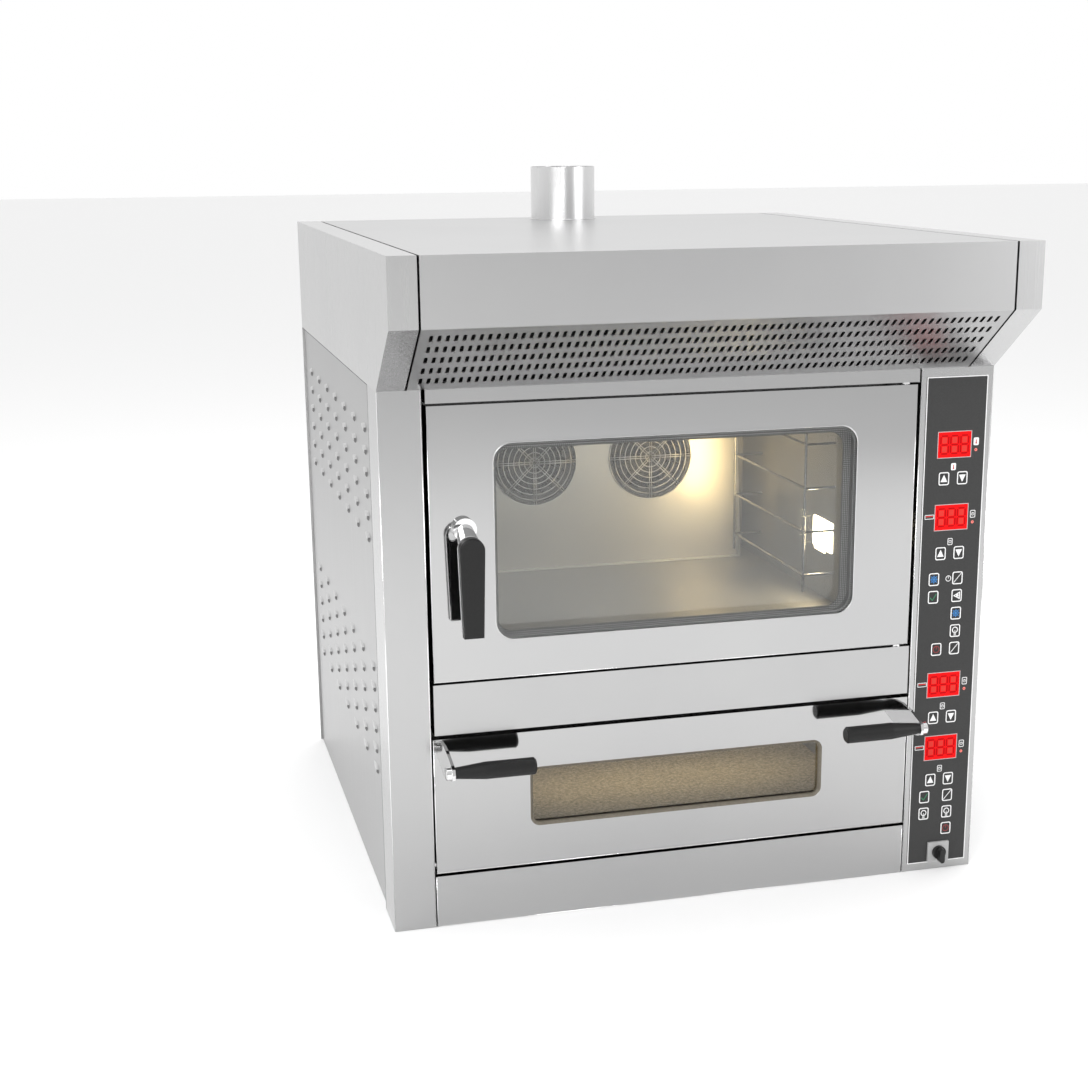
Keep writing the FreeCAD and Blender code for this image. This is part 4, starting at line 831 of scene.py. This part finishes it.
rear_low, rear_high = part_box("rear_panel")
roof_low, roof_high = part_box("hood_canopy")
screw_heads, screw_cross_shades = Shape(), Shape()
for step in range(5):
    screw_x = rear_low.x + mm(18) + (rear_high.x - rear_low.x - mm(36)) * step / 4
    heights = [rear_low.z + mm(20), rear_high.z - mm(16)]
    if step in (0, 4):
        heights += [rear_high.z * share for share in (0.27, 0.5, 0.73)]
    for screw_z in heights:
        countersunk(screw_x, screw_z, rear_high.y)
for step in range(4):
    screw_x = roof_low.x + mm(20) + (roof_high.x - roof_low.x - mm(40)) * step / 3
    for screw_z in (roof_low.z + mm(16), roof_high.z - mm(16)):
        countersunk(screw_x, screw_z, roof_high.y)
screw_heads.finish("rear_screw_heads", pin_steel, CASING, "pin_steel")
screw_cross_shades.finish("rear_screw_cross_shades", shadow_black, CASING, "pin_steel")

# Rolled weld at the foot of the flue.
flue_low, flue_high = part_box("flue_collar")
flue_mid = (flue_low + flue_high) / 2
weld = Shape()
WELD_BEAD = mm(1.6)
weld_radius = (flue_high.x - flue_low.x) / 2 + mm(0.6)
weld.sweep([[(flue_mid.x + math.cos(a) * (weld_radius + math.cos(b) * WELD_BEAD),
              flue_mid.y + math.sin(a) * (weld_radius + math.cos(b) * WELD_BEAD),
              flue_low.z + mm(0.4) + math.sin(b) * WELD_BEAD)
             for b in ring_angles(10)] for a in ring_angles(64)])
weld.finish("flue_weld", pin_steel, CASING, "flue_steel", smooth=True)

# --------------------------------------------------------- inside the oven

chamber_low, chamber_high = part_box("oven_chamber")
guard_low, guard_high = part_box("fan_guards")
guard_radius = (guard_high.z - guard_low.z) / 2
guard_z = (guard_high.z + guard_low.z) / 2
guard_y = (guard_low.y + guard_high.y) / 2
guard_centres = (guard_low.x + guard_radius, guard_high.x - guard_radius)
GUARD_RINGS, GUARD_SPOKES = 8, 8
spoke_y = guard_y - mm(1.4)
guards = Shape()
for guard_x in guard_centres:
    for ring in range(1, GUARD_RINGS + 1):
        guards.sweep(bead(disc(guard_x, guard_z, guard_radius * ring / GUARD_RINGS - mm(0.9), 64),
                          guard_y, mm(0.85), 8))
    for angle in ring_angles(GUARD_SPOKES):
        out_x, out_z = math.cos(angle), math.sin(angle)
        for offset in (-mm(2.0), mm(2.0)):
            guards.wire([(guard_x + out_x * reach - out_z * offset, spoke_y,
                          guard_z + out_z * reach + out_x * offset)
                         for reach in (mm(3), guard_radius - mm(2))], mm(0.8), 8)
wire_guards = guards.finish("wire_guards", guard_wire, CASING, "wire_chrome", smooth=True)
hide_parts("fan_guards")

# Dark rings line the fan mouths under the guards: painted shade in the fan throats.
baffle_low, baffle_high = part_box("air_baffle")
mouth_rings = Shape()
for guard_x in guard_centres:
    mouth_rings.frame(disc(guard_x, guard_z, guard_radius - mm(0.6), 64),
                      disc(guard_x, guard_z, guard_radius - mm(6.5), 64),
                      baffle_low.y - mm(0.5), baffle_low.y + mm(0.3))
mouth_rings.finish("fan_mouth_rings", fan_throat_shade, CASING, "wheel_steel")

# The baffle's turned foot and its slanting end flanges, in a lighter sheet than the baffle: painted
# highlight on the lit ends.
flanges = Shape()
foot_z, ankle_z, head_z = baffle_low.z + mm(0.5), baffle_low.z + mm(3), baffle_high.z - mm(2)
foot_left, foot_right = baffle_low.x + mm(2), baffle_high.x - mm(2)
flanges.plate([(foot_left, foot_z), (foot_right, foot_z), (foot_right, ankle_z),
               (foot_left, ankle_z)], baffle_low.y - mm(9), baffle_low.y)
for end_x, way in ((baffle_low.x, 1), (baffle_high.x, -1)):
    foot_x, head_x = end_x + way * mm(1.5), end_x + way * mm(16)
    strip = [(foot_x, ankle_z), (foot_x + way * mm(4), ankle_z), (head_x + way * mm(4), head_z),
             (head_x, head_z)]
    flanges.plate(strip[::way], baffle_low.y - mm(10), baffle_low.y - mm(8.5))
    foot_x, head_x = foot_x + way * mm(3), head_x + way * mm(3)
    flanges.plate([(foot_x, ankle_z), (foot_x + mm(1.2), ankle_z), (head_x + mm(1.2), head_z),
                   (head_x, head_z)], baffle_low.y - mm(10), baffle_low.y)
flanges.finish("baffle_flanges", baffle_edge_highlight, CASING, "chamber_steel")

# Dark scroll plates behind the wheels, open round the motor shafts; their near-black colour is
# painted shade.
scrolls = Shape()
for wheel in ("fan_wheel_left", "fan_wheel_right"):
    wheel_low, wheel_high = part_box(wheel)
    wheel_x = (wheel_low.x + wheel_high.x) / 2
    scroll_y = wheel_high.y + mm(1.5)
    scrolls.frame(disc(wheel_x, guard_z, guard_radius + mm(6), 48),
                  disc(wheel_x, guard_z, mm(13), 48), scroll_y, scroll_y + mm(1.2))
scrolls.finish("fan_scroll_plates", fan_throat_shade, CASING, "wheel_steel")

# A near-black sheet lies just behind the sloping grille: painted shade inside the hood, seen
# through the holes.
grille_low, grille_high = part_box("hood_grille")
slope = Vector((0, grille_high.y - grille_low.y, grille_low.z - grille_high.z)).normalized()
inward = Vector((0, -slope.z, slope.y))
shade_sheet_points = []
for depth in (mm(9), mm(15)):
    for x, along in ((grille_low.x + mm(1), 0.02), (grille_high.x - mm(1), 0.02),
                     (grille_high.x - mm(1), 0.98), (grille_low.x + mm(1), 0.98)):
        spot = Vector((x, grille_low.y + (grille_high.y - grille_low.y) * along,
                       grille_high.z - (grille_high.z - grille_low.z) * along)) + inward * depth
        shade_sheet_points.append(tuple(spot))
hood_shade_sheet = Shape()
hood_shade_sheet.add(shade_sheet_points, [(0, 1, 2, 3), (7, 6, 5, 4), (0, 4, 5, 1), (1, 5, 6, 2), (2, 6, 7, 3),
                             (3, 7, 4, 0)])
hood_shade_sheet.finish("hood_shade_sheet", shadow_black, CASING, "motor_paint")

# ---------------------------------------------------------- door hardware

hinge_x = door_high.x - mm(17)
hinge_y = door_low.y + mm(12)
SIDES = 32
washers = Shape()
for z_low, z_high in ((door_high.z + mm(0.8), door_high.z + mm(3.9)),
                      (door_low.z - mm(3.9), door_low.z - mm(0.8))):
    washers.sweep([[(hinge_x + math.cos(a) * mm(9), hinge_y + math.sin(a) * mm(9), z)
                    for a in ring_angles(SIDES)] for z in (z_low, z_high)], closed_path=False)
washers.finish("hinge_washers", polished_edge, CASING, "pin_steel")

# The dark back of the lever.
LEVER_X, LEVER_HEAD_Z, LEVER_FOOT_Z = mm(-384.5), mm(646), mm(507)
LEVER_HEAD_RADIUS, LEVER_HALF_WIDE = mm(19), mm(14.6)
head = [(LEVER_X + math.cos(a) * LEVER_HEAD_RADIUS, LEVER_HEAD_Z + math.sin(a) * LEVER_HEAD_RADIUS)
        for a in [math.radians(-38 + 256 * i / 32) for i in range(33)]]
cover = Shape()
cover.plate([(LEVER_X + LEVER_HALF_WIDE, LEVER_FOOT_Z + mm(2)), *head,
             (LEVER_X - LEVER_HALF_WIDE, LEVER_FOOT_Z + mm(2))], mm(-476.4), mm(-474.8))
cover.finish("lever_back_cover", grip_black, "door_lever", "grip_black")

caps = Shape()
CAP_RADIUS, CAP_RISE, CAP_Y, CAP_Z = mm(10.2), mm(2.6), mm(-497.5), mm(290)
for cap_x, outward in ((mm(-435), -1), (mm(386), 1)):
    rings = []
    for step in range(7):
        turn = math.pi / 2 * step / 6.3    # stops short of the dome's point
        reach, rise = math.cos(turn) * CAP_RADIUS, math.sin(turn) * CAP_RISE
        rings.append([(cap_x + outward * rise, CAP_Y + math.cos(a) * reach,
                       CAP_Z + math.sin(a) * reach) for a in ring_angles(28)])
    caps.sweep(rings, closed_path=False)
caps.finish("deck_handle_caps", pin_steel, "deck_door", "handle_chrome", smooth=True)

# ------------------------------------------------------------- folded edges

# The round beads take a much lighter steel than the sheets: painted highlight along the folded
# edges and the column corners.
WIDE_FOLD, FINE_FOLD = mm(0.8), mm(0.6)
for node_name, body, slot_name in (("door_shell", "oven_door", "door_steel"),
                                   ("deck_door_shell", "deck_door", "door_steel"),
                                   ("lower_panel", CASING, "casing_steel")):
    low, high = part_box(node_name)
    y = low.y + mm(0.35)
    left, right = low.x + FINE_FOLD, high.x - FINE_FOLD
    foot, head_z = low.z + FINE_FOLD, high.z - FINE_FOLD
    edges = Shape()
    edges.wire([(left, y, foot), (left, y, head_z)], WIDE_FOLD, 8)
    edges.wire([(low.x + mm(1.5), y, foot), (high.x - mm(1.5), y, foot)], FINE_FOLD, 8)
    edges.wire([(right, y, foot), (right, y, head_z)], FINE_FOLD, 8)
    edges.finish(node_name + "_edges", edge_highlight_steel, body, slot_name, smooth=True)

column_edges = Shape()
for node_name in ("left_front_column", "control_column"):
    low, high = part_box(node_name)
    y = low.y + mm(0.1)
    for x in (low.x + mm(0.9), high.x - mm(0.9)):
        column_edges.wire([(x, y, low.z + mm(1)), (x, y, high.z - mm(1))], mm(0.85), 8)
column_edges.finish("column_edges", edge_highlight_steel, CASING, "casing_steel", smooth=True)

# ------------------------------------------------------- stage, light, camera


def make_floor(half=40.0):
    mesh = bpy.data.meshes.new("floor")
    mesh.from_pydata([(-half, -half, 0), (half, -half, 0), (half, half, 0), (-half, half, 0)],
                     [], [(0, 1, 2, 3)])
    floor = bpy.data.objects.new("floor", mesh)
    bpy.context.scene.collection.objects.link(floor)
    look, shader = new_material("floor_look", Roughness=0.7, Base_Color=grey(0.97))
    mesh.materials.append(look)
    floor.location.z = -mm(0.5)


def area_light(name, place, target, size, power, colour=(1, 1, 1)):
    data = bpy.data.lights.new(name, "AREA")
    data.shape = "RECTANGLE"
    data.size, data.size_y = size
    data.energy = power
    data.color = colour
    lamp = bpy.data.objects.new(name, data)
    lamp.location = place
    way = Vector(target) - Vector(place)
    lamp.rotation_euler = way.to_track_quat("-Z", "Y").to_euler()
    bpy.context.scene.collection.objects.link(lamp)
    return lamp


def make_world(front=0.62, rear=1.0):
    """White surroundings, dimmer in front of the object than behind it."""
    world = bpy.data.worlds.new("studio")
    bpy.context.scene.world = world
    world.use_nodes = True
    nodes = world.node_tree.nodes
    backdrop = nodes["Background"]
    sky = nodes.new("ShaderNodeTexCoord")
    split = nodes.new("ShaderNodeSeparateXYZ")
    shade = nodes.new("ShaderNodeMapRange")
    for socket, value in (("From Min", -1.0), ("From Max", 0.1), ("To Min", front),
                          ("To Max", rear)):
        shade.inputs[socket].default_value = value
    link(world, sky.outputs["Generated"], split.inputs["Vector"])
    link(world, split.outputs["Y"], shade.inputs["Value"])
    link(world, shade.outputs["Result"], backdrop.inputs["Strength"])
    backdrop.inputs["Color"].default_value = grey(1.0)


bpy.context.scene.view_settings.view_transform = "Standard"
make_floor()
make_world()

OVEN_CENTRE = (0, 0, 0.6)
area_light("key_light", (-2.6, -3.4, 3.2), OVEN_CENTRE, (2.6, 2.6), 120)
area_light("fill_light", (3.2, -2.8, 1.8), OVEN_CENTRE, (2.2, 2.6), 45)
area_light("flue_strip", (-1.0, -4.2, 1.2), (0, 0.35, 1.12), (0.3, 0.5), 5.0)
area_light("top_light", (0.3, 0.4, 4.2), OVEN_CENTRE, (3.0, 3.0), 60)

WARM = (1.0, 0.80, 0.50)


def inside_light(*settings):
    """Area light within the oven that the camera doesn't see."""
    area_light(*settings).visible_camera = False


lamp_low, lamp_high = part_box("oven_lamp")
lamp_mid = (lamp_low + lamp_high) / 2
inside_light("lamp_light", (lamp_low.x - mm(4), lamp_mid.y, lamp_mid.z),
             (0, lamp_mid.y, lamp_mid.z), (0.05, 0.06), 1.1, WARM)
# A warm pool on the baffle's right end, from the lamp's rear reflector.
glow_x = baffle_high.x - mm(56)
inside_light("baffle_glow", (glow_x, baffle_low.y - mm(110), baffle_high.z - mm(150)),
             (glow_x, baffle_low.y, baffle_high.z - mm(160)), (0.05, 0.18), 0.55,
             (1.0, 0.72, 0.32))
inside_light("chamber_fill", (window_x, chamber_low.y + mm(60), chamber_high.z - mm(12)),
             (window_x, chamber_low.y + mm(300), chamber_low.z), (0.5, 0.08), 1.7,
             (1, 0.98, 0.95))
deck_low, deck_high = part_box("deck_chamber")
inside_light("deck_glow", (0, deck_low.y + mm(140), deck_high.z - mm(22)),
             (0, deck_low.y + mm(260), deck_low.z), (0.55, 0.06), 0.62, WARM)

# The camera: turned from straight ahead, looking down, with its roll.
CAMERA_AT = Vector((-0.9014, -3.0954, 1.2573))
TURN, DOWN, ROLL = (math.radians(v) for v in (-14.785, 14.605, -0.422))
forward = Vector((-math.sin(TURN) * math.cos(DOWN), math.cos(TURN) * math.cos(DOWN),
                  -math.sin(DOWN)))
level = forward.cross(Vector((0, 0, 1))).normalized()
above = level.cross(forward)
side = level * math.cos(ROLL) + above * math.sin(ROLL)
up = above * math.cos(ROLL) - level * math.sin(ROLL)
camera_data = bpy.data.cameras.new("camera")
camera_data.sensor_width, camera_data.lens = 36, 58.66
camera_data.shift_x, camera_data.shift_y = -0.0328, 0.0514
camera_data.clip_end = 60    # past the floor's visible end
camera = bpy.data.objects.new("camera", camera_data)
camera.matrix_world = Matrix((
    (side.x, up.x, -forward.x, CAMERA_AT.x), (side.y, up.y, -forward.y, CAMERA_AT.y),
    (side.z, up.z, -forward.z, CAMERA_AT.z), (0, 0, 0, 1)))
bpy.context.scene.collection.objects.link(camera)
bpy.context.scene.camera = camera
